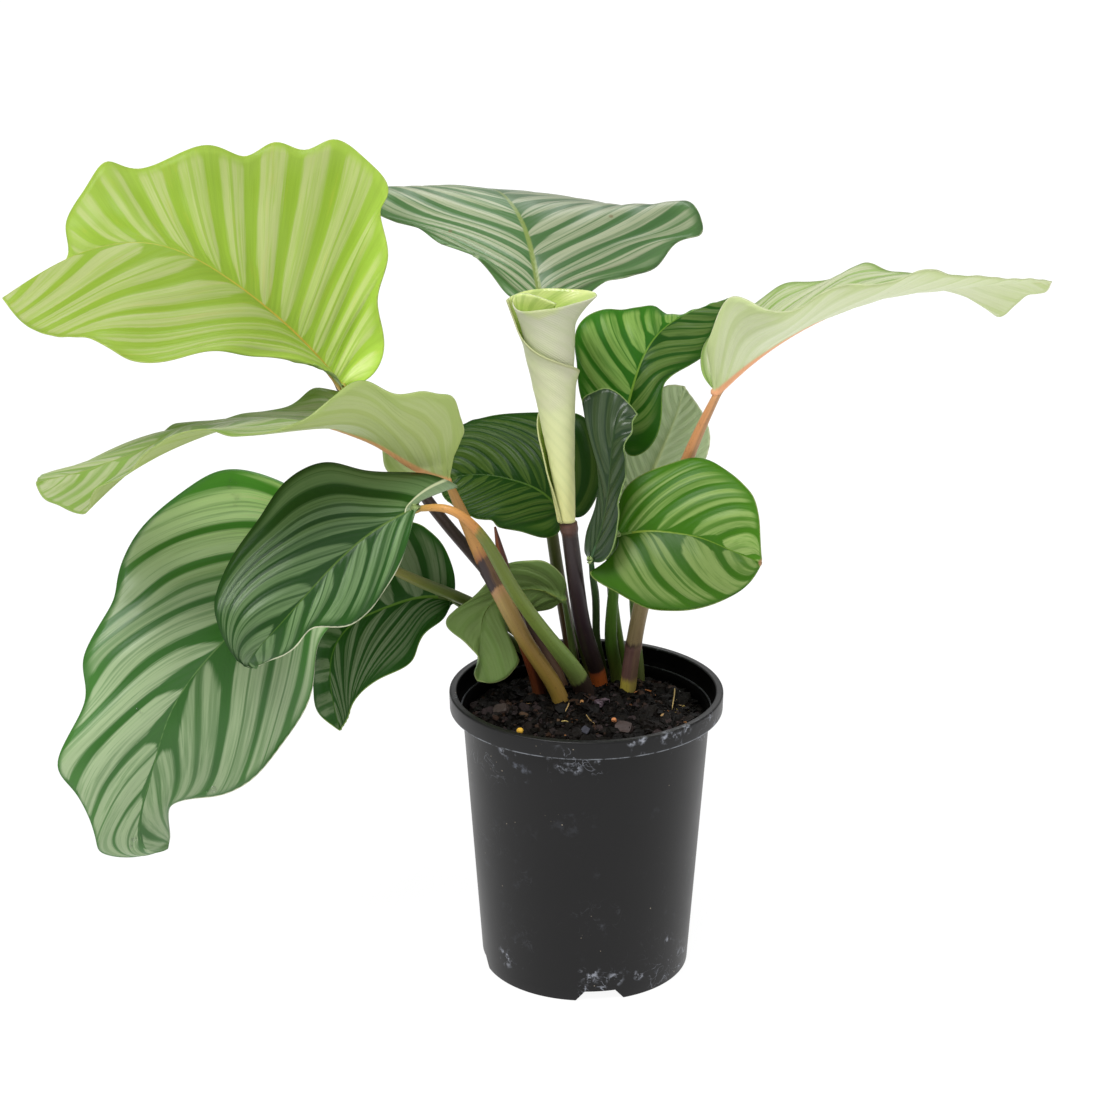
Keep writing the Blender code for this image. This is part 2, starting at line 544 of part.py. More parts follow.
def roll_level(height):
    """One level of the wound sheet: points of its outer face, from the inner edge to the outer one."""
    radius = ROLL_BASE_RADIUS + (ROLL_MOUTH_RADIUS - ROLL_BASE_RADIUS) * height ** ROLL_FLARE
    lip = max(0.0, (height - ROLL_LIP_FROM) / (1.0 - ROLL_LIP_FROM)) ** 1.5
    turns = roll_turns(height)
    first, last = turns[0], turns[-1]
    wall = radius - ROLL_LAYER * (last + 1.0)
    level = []
    for turn in turns:
        share = (turn - first) / (last - first)
        held = max(turn, -1.0)
        curl = min((held - turn) / ROLL_CURL_TURNS, 1.0)
        angle = math.pi + 2.0 * math.pi * held
        reach = radius - ROLL_LAYER * (last - held)
        reach += ROLL_EDGE_LIFT * max(0.0, (share - 0.9) / 0.1) ** 2 * min(1.0, height / 0.2)
        toward_point = max(0.0, math.cos(angle - ROLL_POINT_ANGLE))
        reach += lip * (ROLL_LIP + ROLL_POINT * toward_point ** 6)
        x = math.cos(angle) * reach + wall * (0.2 * curl * (1.0 - curl) + 1.5 * curl ** 2)
        y = math.sin(angle) * reach + wall * (0.7 * curl * (1.0 - curl) - 0.42 * curl ** 2)
        dip = math.exp(-((turn + 0.9) / 0.1) ** 2)
        rise = ROLL_TILT * math.sin(angle + 0.6) - ROLL_DIP * dip + ROLL_HUMP * 4.0 * curl * (1.0 - curl)
        level.append((x, y, rise * height ** 6))
    return np.array(level)


def zipped(lower, upper):
    """Triangles between two levels, each a list of (turn, point number) in the order of their turns."""
    faces = []
    i = 0
    j = 0
    while i < len(lower) - 1 or j < len(upper) - 1:
        if j == len(upper) - 1 or (i < len(lower) - 1 and lower[i + 1][0] <= upper[j + 1][0]):
            faces.append((lower[i][1], lower[i + 1][1], upper[j][1]))
            i += 1
        else:
            faces.append((lower[i][1], upper[j + 1][1], upper[j][1]))
            j += 1
    return faces


def make_rolled_leaf():
    """The new leaf: one sheet wound round itself, narrow at its foot and open at its mouth."""
    low = seen_at(*ROLL_BASE)
    high = seen_at(*ROLL_MOUTH)
    inner = []
    outer = []
    levels = []
    for height in ROLL_LEVELS:
        level = roll_level(height)
        along_sheet = np.gradient(level, axis=0)
        out = np.stack([along_sheet[:, 1], -along_sheet[:, 0], np.zeros(len(level))], axis=1)
        out /= np.linalg.norm(out, axis=1, keepdims=True)
        levels.append([(turn, len(outer) + k) for k, turn in enumerate(roll_turns(height))])
        centre = low + (high - low) * height
        outer.extend(centre + level)
        inner.extend(centre + level - out * ROLL_SHEET)
    body = bmesh.new()
    front = [body.verts.new(p) for p in outer]
    back = [body.verts.new(p) for p in inner]
    for lower, upper in zip(levels, levels[1:]):
        for face in zipped(lower, upper):
            body.faces.new([front[k] for k in face])
            body.faces.new([back[k] for k in face[::-1]])
    edge = [number for turn, number in levels[0]]
    edge += [level[-1][1] for level in levels[1:]]
    edge += [number for turn, number in levels[-1][-2::-1]]
    edge += [level[0][1] for level in levels[-2:0:-1]]
    for a, b in zip(edge, edge[1:] + edge[:1]):
        body.faces.new((front[a], back[a], back[b]))
        body.faces.new((front[a], back[b], front[b]))
    return make_object("leaf_rolled_new", body, ROLL_COLOUR, 0.5)


def pot_outline():
    """Half section of the pot as radius and height, from the middle of its underside round to its floor."""
    under_rim = POT_HEIGHT - POT_RIM_BAND
    inner_rim = POT_RIM_RADIUS - POT_RIM_LIP
    slope = (POT_SHOULDER_RADIUS - POT_BASE_RADIUS) / under_rim
    inside_floor = POT_BASE_RADIUS + slope * POT_FLOOR_TOP - POT_WALL
    inside_top = POT_SHOULDER_RADIUS - POT_WALL
    return [
        (0.0, 0.0),
        (POT_FOOT_RADIUS, 0.0),
        (POT_FOOT_RADIUS + 1.0 * MM, POT_FLOOR_UNDER),
        (POT_BASE_RADIUS - 4.0 * MM, POT_FLOOR_UNDER),
        (POT_BASE_RADIUS - 2.4 * MM, 0.0),
        (POT_BASE_RADIUS - 0.6 * MM, 0.0),
        (POT_BASE_RADIUS, 0.8 * MM),
        (POT_SHOULDER_RADIUS, under_rim),
        (POT_RIM_RADIUS - 0.5 * MM, under_rim),
        (POT_RIM_RADIUS, under_rim + 0.8 * MM),
        (POT_RIM_RADIUS, POT_HEIGHT - 1.2 * MM),
        (POT_RIM_RADIUS - 0.8 * MM, POT_HEIGHT),
        (inner_rim + 0.6 * MM, POT_HEIGHT),
        (inner_rim, POT_HEIGHT - 0.8 * MM),
        (inner_rim - 0.5 * MM, under_rim + 2.0 * MM),
        (inside_top, under_rim - 2.5 * MM),
        (inside_floor, POT_FLOOR_TOP),
        (0.0, POT_FLOOR_TOP),
    ]


def turned_body(outline, sides):
    """A closed body turned about the Z axis from a half section that starts and ends on the axis."""
    body = bmesh.new()
    start = body.verts.new((0.0, 0.0, outline[0][1]))
    finish = body.verts.new((0.0, 0.0, outline[-1][1]))
    rings = []
    for radius, height in outline[1:-1]:
        ring = []
        for k in range(sides):
            turn = 2.0 * math.pi * k / sides
            ring.append(body.verts.new((radius * math.cos(turn), radius * math.sin(turn), height)))
        rings.append(ring)
    for k in range(sides):
        after = (k + 1) % sides
        body.faces.new((start, rings[0][after], rings[0][k]))
        body.faces.new((finish, rings[-1][k], rings[-1][after]))
        for low, high in zip(rings, rings[1:]):
            body.faces.new((low[k], low[after], high[after], high[k]))
    return body


def cut_away(target, cutters):
    """Take each cutter body away from the target, then remove the cutters."""
    for number, body in enumerate(cutters):
        bmesh.ops.recalc_face_normals(body, faces=body.faces)
        mesh = bpy.data.meshes.new(target.name + "_cutter_" + str(number))
        body.to_mesh(mesh)
        body.free()
        cutter = bpy.data.objects.new(mesh.name, mesh)
        cutter.hide_render = True
        cutter.display_type = "WIRE"
        bpy.context.scene.collection.objects.link(cutter)
        cut = target.modifiers.new("cut", "BOOLEAN")
        cut.operation = "DIFFERENCE"
        cut.solver = "EXACT"
        cut.object = cutter
        bpy.context.view_layer.objects.active = target
        bpy.ops.object.modifier_apply(modifier=cut.name)
        bpy.data.objects.remove(cutter, do_unlink=True)
        bpy.data.meshes.remove(mesh)


def notch_body(angle):
    """A wedge across the pot's bottom edge, wide on the ground and narrower above."""
    body = bmesh.new()
    near = POT_BASE_RADIUS - 12.0 * MM
    far = POT_BASE_RADIUS + 6.0 * MM
    section = [(-NOTCH_WIDE / 2.0, -2.0 * MM), (NOTCH_WIDE / 2.0, -2.0 * MM),
               (NOTCH_NARROW / 2.0, NOTCH_HEIGHT), (-NOTCH_NARROW / 2.0, NOTCH_HEIGHT)]
    ends = []
    for reach in (near, far):
        ring = []
        for across, height in section:
            x = reach * math.cos(angle) - across * math.sin(angle)
            y = reach * math.sin(angle) + across * math.cos(angle)
            ring.append(body.verts.new((x, y, height)))
        ends.append(ring)
    body.faces.new(ends[0])
    body.faces.new(ends[1][::-1])
    for k in range(4):
        after = (k + 1) % 4
        body.faces.new((ends[0][k], ends[1][k], ends[1][after], ends[0][after]))
    return body


def make_pot():
    """The black pot: tapered wall, thick rim band, raised floor with drain holes, notched skirt."""
    pot = make_object("pot", turned_body(pot_outline(), POT_SIDES), POT_COLOUR, 0.5)
    cutters = [notch_body(NOTCH_FIRST_ANGLE + 2.0 * math.pi * k / NOTCH_COUNT) for k in range(NOTCH_COUNT)]
    for k in range(DRAIN_COUNT):
        turn = 2.0 * math.pi * (k + 0.5) / DRAIN_COUNT
        x = DRAIN_CIRCLE * math.cos(turn)
        y = DRAIN_CIRCLE * math.sin(turn)
        line = np.array([(x, y, POT_FLOOR_UNDER - 2.0 * MM), (x, y, POT_FLOOR_TOP + 2.0 * MM)])
        cutters.append(tube_body(line, [DRAIN_RADIUS, DRAIN_RADIUS], 10))
    cut_away(pot, cutters)
    return pot


def soil_height(x, y, chunks):
    """Height of the soil at a point: slightly mounded, with flat-topped chunks standing out of it."""
    reach = math.hypot(x, y) / (POT_SHOULDER_RADIUS - POT_WALL)
    height = SOIL_LEVEL + (SOIL_EDGE_LEVEL - SOIL_LEVEL) * reach ** 3
    rise = 0.0
    for cx, cy, radius, top, lean_x, lean_y in chunks:
        away = math.hypot(x - cx, y - cy)
        if away < radius * 1.6:
            lift = top + (x - cx) * lean_x + (y - cy) * lean_y
            rise = max(rise, lift * min(1.0, max(0.0, (1.6 * radius - away) / (0.6 * radius))))
    return height + rise * min(1.0, max(0.0, (0.97 - reach) * 12.0))


def make_soil(stem_cutters):
    """The bark mix that fills the pot: rough top, plain holes for the stems."""
    chance = random.Random(17)
    under_rim = POT_HEIGHT - POT_RIM_BAND
    slope = (POT_SHOULDER_RADIUS - POT_BASE_RADIUS) / under_rim

    def wall_at(height):
        return POT_BASE_RADIUS + slope * height - POT_WALL - FIT_GAP

    chunks = []
    for _ in range(SOIL_CHUNKS):
        reach = SOIL_CHUNK_REACH * math.sqrt(chance.random())
        turn = chance.uniform(0.0, 2.0 * math.pi)
        radius = chance.uniform(*SOIL_CHUNK_RADIUS)
        top = chance.uniform(*SOIL_CHUNK_RISE)
        lean_x = chance.uniform(-SOIL_CHUNK_LEAN, SOIL_CHUNK_LEAN)
        lean_y = chance.uniform(-SOIL_CHUNK_LEAN, SOIL_CHUNK_LEAN)
        chunks.append((reach * math.cos(turn), reach * math.sin(turn), radius, top, lean_x, lean_y))
    edge_radius = wall_at(SOIL_EDGE_LEVEL)
    flat = []
    for k in range(POT_SIDES):
        turn = 2.0 * math.pi * k / POT_SIDES
        flat.append(Vector((edge_radius * math.cos(turn), edge_radius * math.sin(turn))))
    row_step = SOIL_SPACING * math.sqrt(3.0) / 2.0
    rows = int(edge_radius / row_step) + 1
    for i in range(-rows, rows + 1):
        for j in range(-rows - 4, rows + 5):
            x = (j + 0.5 * (i % 2)) * SOIL_SPACING + chance.uniform(-SOIL_JITTER, SOIL_JITTER)
            y = i * row_step + chance.uniform(-SOIL_JITTER, SOIL_JITTER)
            if math.hypot(x, y) < edge_radius - 3.2 * MM:
                flat.append(Vector((x, y)))
    ring = list(range(POT_SIDES))
    borders = [(k, (k + 1) % POT_SIDES) for k in ring]
    points, _, triangles, *_ = delaunay_2d_cdt(flat, borders, [], 1, 1e-7)
    body = bmesh.new()
    upper = []
    for k, point in enumerate(points):
        height = SOIL_EDGE_LEVEL if k < POT_SIDES else soil_height(point.x, point.y, chunks)
        upper.append(body.verts.new((point.x, point.y, height)))
    for triangle in triangles:
        body.faces.new([upper[k] for k in triangle])
    floor = POT_FLOOR_TOP + FIT_GAP
    floor_radius = wall_at(floor)
    bottom = []
    for k in ring:
        turn = 2.0 * math.pi * k / POT_SIDES
        bottom.append(body.verts.new((floor_radius * math.cos(turn), floor_radius * math.sin(turn), floor)))
    centre = body.verts.new((0.0, 0.0, floor))
    for k in ring:
        after = (k + 1) % POT_SIDES
        body.faces.new((bottom[k], bottom[after], upper[after], upper[k]))
        body.faces.new((centre, bottom[after], bottom[k]))
    soil = make_object("soil", body, SOIL_COLOUR, 0.9, smooth=False)
    cut_away(soil, stem_cutters)
    return soil


def build():
    """Empty the scene, then make the pot, the leaves on their stems and the soil around the stems."""
    for thing in list(bpy.data.objects):
        bpy.data.objects.remove(thing, do_unlink=True)
    make_pot()
    holes = [open_leaf(key, leaf) for key, leaf in LEAVES.items()]
    make_rolled_leaf()
    roll_end = seen_at(*ROLL_BASE) - np.array([0.0, 0.0, 4.0 * FIT_GAP])
    roll_line = stem_curve(ROLL_FOOT, ROLL_STEM, roll_end)
    holes.append(stem_parts(roll_line, ROLL_STEM_THICK, "stem_rolled_new", ROLL_STEM_COLOUR)[1])
    shoot_line = stem_curve(SHOOT_FOOT, SHOOT_POINTS[:-1], seen_at(*SHOOT_POINTS[-1]))
    holes.append(stem_parts(shoot_line, SHOOT_THICK, "shoot_red_pointed", SHOOT_COLOUR)[1])
    make_soil(holes)


build()
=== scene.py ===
# %% [markdown]
# # A potted calathea with round striped leaves
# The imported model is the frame: a pot, its soil, thirteen open leaves on stems, one rolled new leaf and one
# pointed shoot, all in metres. This script dresses each of them with a finer piece of the same form and
# paints it. Nothing is moved, so each new piece takes the place of the plain solid that it stands for.

# %% Load the frame
import math
import random

import bmesh
import bpy
import numpy as np
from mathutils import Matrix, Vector
from mathutils.bvhtree import BVHTree


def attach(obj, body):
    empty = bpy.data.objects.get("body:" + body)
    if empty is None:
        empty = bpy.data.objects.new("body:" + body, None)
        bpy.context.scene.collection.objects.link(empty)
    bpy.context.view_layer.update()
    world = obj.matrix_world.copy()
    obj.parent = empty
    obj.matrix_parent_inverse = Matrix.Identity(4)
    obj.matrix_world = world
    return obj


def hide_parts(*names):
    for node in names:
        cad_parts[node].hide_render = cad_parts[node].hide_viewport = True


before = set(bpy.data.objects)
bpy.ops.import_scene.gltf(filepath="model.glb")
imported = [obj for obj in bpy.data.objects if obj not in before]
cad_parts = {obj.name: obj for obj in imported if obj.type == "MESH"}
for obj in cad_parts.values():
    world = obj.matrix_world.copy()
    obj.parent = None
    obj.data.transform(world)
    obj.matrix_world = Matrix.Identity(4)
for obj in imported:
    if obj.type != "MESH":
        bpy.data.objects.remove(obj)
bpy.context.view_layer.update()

MM = 0.001

# %% [markdown]
# ## The camera
# The pot's rim and base show as two ellipses in the picture, and their sizes tell how high the camera stands
# and how far it looks down: 19.6 degrees, from 1.6 m away. A focal length of 2800 picture points in a picture
# 1100 points wide is a lens of about 92 mm on a 36 mm sensor, so the camera is set from these numbers and not
# by eye. The same numbers turn a place in the picture into a point in space further down.

# %% Set the camera
PICTURE = 1100.0
PICTURE_CENTRE = PICTURE / 2.0
FOCAL = 2800.0
VIEW_PITCH = math.radians(19.6)
VIEW_EYE = np.array([-22.5, -1607.0, 846.0]) * MM
SENSOR = 36.0


def add_object(name, data):
    """An object in the scene that shows a mesh, a camera or a lamp."""
    thing = bpy.data.objects.new(name, data)
    bpy.context.scene.collection.objects.link(thing)
    return thing


camera_data = bpy.data.cameras.new("camera")
camera_data.sensor_width = SENSOR
camera_data.sensor_fit = "HORIZONTAL"
camera_data.lens = FOCAL / PICTURE * SENSOR
camera_data.clip_start = 0.05
camera_data.clip_end = 100.0
camera = add_object("camera", camera_data)
camera.location = VIEW_EYE
camera.rotation_euler = (math.pi / 2.0 - VIEW_PITCH, 0.0, 0.0)
bpy.context.scene.camera = camera
print("camera lens", round(camera_data.lens, 1), "mm")

# %% [markdown]
# ## Light and floor
# The picture has soft light from all round, stronger from above and from the left, and a plain white ground
# without a shadow. An even sky does part of the light. Suns with a wide disc do the rest: they are soft like
# studio lamps, and they are what shows as a sheen on the leaves. The floor gets a dark, glowing paint further
# down, so that it is white by itself and shows no shadow. It is only a stage and isn't part of the plant.

# %% Light the stage
SKY_STRENGTH = 0.42
WHITE = (1.0, 1.0, 1.0, 1.0)
# Each lamp: the way it shines, its strength and the width of its disc in degrees
LAMPS = {"key light": ((0.55, 0.62, -1.0), 0.95, 26.0), "top light": ((0.2, 0.4, -0.88), 1.5, 28.0),
         "side light": ((-0.9, 0.5, -0.75), 0.5, 44.0), "back light": ((-0.06, -0.75, -0.66), 0.5, 34.0)}
FLOOR_REACH = 12.0

world = bpy.data.worlds.new("soft sky")
world.use_nodes = True
world.node_tree.nodes["Background"].inputs["Color"].default_value = WHITE
world.node_tree.nodes["Background"].inputs["Strength"].default_value = SKY_STRENGTH
bpy.context.scene.world = world
bpy.context.scene.view_settings.view_transform = "Standard"
for name, (direction, strength, width) in LAMPS.items():
    data = bpy.data.lights.new(name, "SUN")
    data.energy = strength
    data.angle = math.radians(width)
    lamp = add_object(name, data)
    lamp.rotation_mode = "QUATERNION"
    lamp.rotation_quaternion = Vector(direction).to_track_quat("-Z", "Y")

floor_mesh = bpy.data.meshes.new("floor")
floor_mesh.from_pydata([(-FLOOR_REACH, -FLOOR_REACH, 0), (FLOOR_REACH, -FLOOR_REACH, 0),
                        (FLOOR_REACH, FLOOR_REACH, 0), (-FLOOR_REACH, FLOOR_REACH, 0)], [], [(0, 1, 2, 3)])
floor = add_object("floor", floor_mesh)
print(len(LAMPS), "lights and the floor set")

# %% [markdown]
# ## A short way to write node recipes
# A material or a geometry tree is a list of small sums. This helper adds one node per call and gives back its
# output, so that the recipes below read like the sums they are.


# %% Define the recipe helper
def linear(colour):
    """A colour as it looks on screen (0 to 255) as the linear values that a material takes."""
    shares = [c / 255.0 for c in colour]
    return tuple(s / 12.92 if s <= 0.04045 else ((s + 0.055) / 1.055) ** 2.4 for s in shares) + (1.0,)


class Recipe:
    """Adds nodes to one tree and wires them. A value may be a number, a colour or another node's output."""

    def __init__(self, tree):
        self.tree = tree

    def feed(self, socket, value):
        if isinstance(value, bpy.types.NodeSocket):
            self.tree.links.new(value, socket)
        elif value is not None:
            socket.default_value = value

    def node(self, kind, *values, out=0, **settings):
        """One node: its settings first, then its inputs in their order; returns one of its outputs."""
        made = self.tree.nodes.new(kind)
        for key, value in settings.items():
            setattr(made, key, value)
        for socket, value in zip([s for s in made.inputs if s.enabled], values):
            self.feed(socket, value)
        return [s for s in made.outputs if s.enabled][out]

    def math(self, operation, a, b=None):
        return self.node("ShaderNodeMath", a, b, operation=operation)

    def add(self, first, *others):
        for other in others:
            first = self.math("ADD", first, other)
        return first

    def times(self, first, *others):
        for other in others:
            first = self.math("MULTIPLY", first, other)
        return first

    def minus(self, a, b):
        return self.math("SUBTRACT", a, b)

    def swing(self, value, size):
        """A value between 0 and 1 as one that swings about 0, size wide in all."""
        return self.times(self.minus(value, 0.5), size)

    def slope(self, value, low, high, kind="LINEAR"):
        """0 below low, 1 above high, with a straight step between."""
        return self.node("ShaderNodeMapRange", value, low, high, 0.0, 1.0, interpolation_type=kind)

    def rise(self, value, low, high):
        """0 below low, 1 above high, with a smooth step between."""
        return self.slope(value, low, high, "SMOOTHSTEP")

    def fall(self, value, low, high):
        return self.minus(1.0, self.rise(value, low, high))

    def vector(self, operation, a, b=None, out=0):
        return self.node("ShaderNodeVectorMath", a, b, operation=operation, out=out)

    def stretched(self, place, scale):
        """The place multiplied along each axis, for patterns that are longer one way."""
        return self.vector("MULTIPLY", place, scale)

    def joined(self, x, y, z):
        return self.node("ShaderNodeCombineXYZ", x, y, z)

    def parts(self, vector):
        """The three numbers of a vector."""
        return list(self.node("ShaderNodeSeparateXYZ", vector).node.outputs)

    def place(self):
        """The place on the piece, in metres."""
        return self.node("ShaderNodeTexCoord", out=3)

    def kept(self, name, out=2):
        """What the mesh keeps under a name: a number, or with out 0 a colour and with out 1 a vector."""
        return self.node("ShaderNodeAttribute", attribute_name=name, out=out)

    def blend(self, share, first, second):
        made = self.tree.nodes.new("ShaderNodeMix")
        made.data_type = "RGBA"
        for number, value in ((0, share), (6, first), (7, second)):
            self.feed(made.inputs[number], value)
        return made.outputs[2]

    def toned(self, tone, colour):
        """The colour, darker where the tone is below 1."""
        return self.node("ShaderNodeHueSaturation", 0.5, 1.0, tone, 1.0, colour)

    def noise(self, place, scale, detail=2.0, roughness=0.5, distortion=0.0, out=0):
        return self.node("ShaderNodeTexNoise", place, scale, detail, roughness, None, distortion, out=out)

    def cells(self, place, scale):
        made = self.tree.nodes.new("ShaderNodeTexVoronoi")
        self.feed(made.inputs["Vector"], place)
        made.inputs["Scale"].default_value = scale
        return made.outputs[0]

    def ramp(self, value, stops):
        made = self.tree.nodes.new("ShaderNodeValToRGB")
        self.feed(made.inputs[0], value)
        elements = made.color_ramp.elements
        elements.remove(elements[-1])
        elements[0].position = stops[0][0]
        elements[0].color = linear(stops[0][1])
        for place, colour in stops[1:]:
            elements.new(place).color = linear(colour)
        return made.outputs[0]


def new_group(name, inputs, outputs, kind="ShaderNodeTree"):
    """An empty node group with named inputs and outputs; returns it with its recipe and both ends."""
    group = bpy.data.node_groups.new(name, kind)
    for label, socket, value in inputs:
        made = group.interface.new_socket(label, in_out="INPUT", socket_type=socket)
        if value is not None:
            made.default_value = value
    for label, socket in outputs:
        group.interface.new_socket(label, in_out="OUTPUT", socket_type=socket)
    recipe = Recipe(group)
    start = group.nodes.new("NodeGroupInput")
    end = group.nodes.new("NodeGroupOutput")
    return group, recipe, start.outputs, end.inputs


def new_material(name):
    """A material with its Principled shader; returns the material, its recipe and the shader."""
    material = bpy.data.materials.new(name)
    material.use_nodes = True
    return material, Recipe(material.node_tree), material.node_tree.nodes["Principled BSDF"]


def finish_material(recipe, shader, colour, roughness, height=None, distance=0.3 * MM, strength=1.0,
                    specular=None):
    """Wire colour, roughness and relief to the shader, and set its specular level."""
    recipe.feed(shader.inputs["Base Color"], colour)
    recipe.feed(shader.inputs["Roughness"], roughness)
    recipe.feed(shader.inputs["Specular IOR Level"], specular)
    if height is not None:
        bump = recipe.tree.nodes.new("ShaderNodeBump")
        bump.inputs["Strength"].default_value = strength
        bump.inputs["Distance"].default_value = distance
        recipe.feed(bump.inputs["Height"], height)
        recipe.feed(shader.inputs["Normal"], bump.outputs[0])


print("recipe helper ready")

# %% Paint the floor
FLOOR_GLOW = 0.92
floor_look, r, shader = new_material("pale floor")
finish_material(r, shader, r.blend(r.noise(r.place(), 3.0), linear((84, 84, 85)), linear((92, 92, 92))), 0.75)
shader.inputs["Emission Color"].default_value = WHITE
shader.inputs["Emission Strength"].default_value = FLOOR_GLOW
floor_mesh.materials.append(floor_look)
print("floor glows with", FLOOR_GLOW, "of full white")

# %% [markdown]
# ## Reading the leaves off the picture
# A leaf of this plant is a midrib with side veins that leave it forwards and swing out to the margin. Its
# form is known once three lines are known: the midrib and the two margins. Each line is a few places in the
# picture, and each place has a depth in millimetres, judged from how the leaves overlap. A smooth curve
# through them gives the line, and the veins between the lines give the blade. Sculpting by eye would be the
# other way; this one puts every outline exactly where the camera sees it.


# %% Define the curves
def seen_at(x, y, depth):
    """The point that the picture shows at x, y and that lies depth mm behind the pot's axis."""
    forward = np.array([0.0, math.cos(VIEW_PITCH), -math.sin(VIEW_PITCH)])
    upward = np.array([0.0, math.sin(VIEW_PITCH), math.cos(VIEW_PITCH)])
    ray = forward - upward * (y - PICTURE_CENTRE) / FOCAL
    ray[0] = (x - PICTURE_CENTRE) / FOCAL
    return VIEW_EYE + ray * ((depth * MM - VIEW_EYE[1]) / ray[1])


def smooth_curve(points, count=300):
    """A natural cubic through the points, then evenly spaced along its length."""
    points = np.asarray(points, float)
    last = len(points) - 1
    steps = np.linalg.norm(np.diff(points, axis=0), axis=1) ** 0.5
    knots = np.concatenate([[0.0], np.cumsum(steps)])
    gaps = np.diff(knots)
    matrix = np.eye(last + 1)
    wanted = np.zeros_like(points)
    for i in range(1, last):
        matrix[i, i - 1:i + 2] = gaps[i - 1], 2.0 * (gaps[i - 1] + gaps[i]), gaps[i]
        slope_before = (points[i] - points[i - 1]) / gaps[i - 1]
        slope_after = (points[i + 1] - points[i]) / gaps[i]
        wanted[i] = 6.0 * (slope_after - slope_before)
    bend = np.linalg.solve(matrix, wanted)
    place = np.linspace(0.0, knots[-1], 4 * count)
    i = np.clip(np.searchsorted(knots, place) - 1, 0, last - 1)
    ahead = (knots[i + 1] - place)[:, None]
    behind = (place - knots[i])[:, None]
    gap = gaps[i][:, None]
    fine = (bend[i] * ahead ** 3 + bend[i + 1] * behind ** 3) / (6.0 * gap)
    fine += (points[i] / gap - bend[i] * gap / 6.0) * ahead
    fine += (points[i + 1] / gap - bend[i + 1] * gap / 6.0) * behind
    run = np.concatenate([[0.0], np.cumsum(np.linalg.norm(np.diff(fine, axis=0), axis=1))])
    even = np.linspace(0.0, run[-1], count)
    return np.stack([np.interp(even, run, fine[:, k]) for k in range(3)], axis=1)


def along(curve, share):
    """Points at the given shares (0 to 1) of an evenly spaced curve."""
    place = np.clip(share, 0.0, 1.0) * (len(curve) - 1)
    index = np.arange(len(curve))
    return np.stack([np.interp(place, index, curve[:, k]) for k in range(3)], axis=-1)


def unit(vectors):
    """The vectors at a length of 1."""
    return vectors / np.maximum(np.linalg.norm(vectors, axis=-1, keepdims=True), 1e-12)


def directions(curve):
    """Unit direction at each point of a curve."""
    return unit(np.gradient(curve, axis=0))


def seen_curve(places):
    """The smooth curve through places of the picture."""
    return smooth_curve([seen_at(*p) for p in places])


print("one picture point is", round(1000.0 * (seen_at(551, 800, -80)[0] - seen_at(550, 800, -80)[0]), 2), "mm")

# %% [markdown]
# ## The leaves as read
# Picture x, picture y and depth in mm for each point, plus away from the viewer. Left and right are seen from
# the leaf's upper side, from base to tip. The bulge lifts the left and the right half between the veins' ends.
# The foot says where the stem stands on the soil, in mm, the stem lists the places it passes, and thick its
# radii in mm.

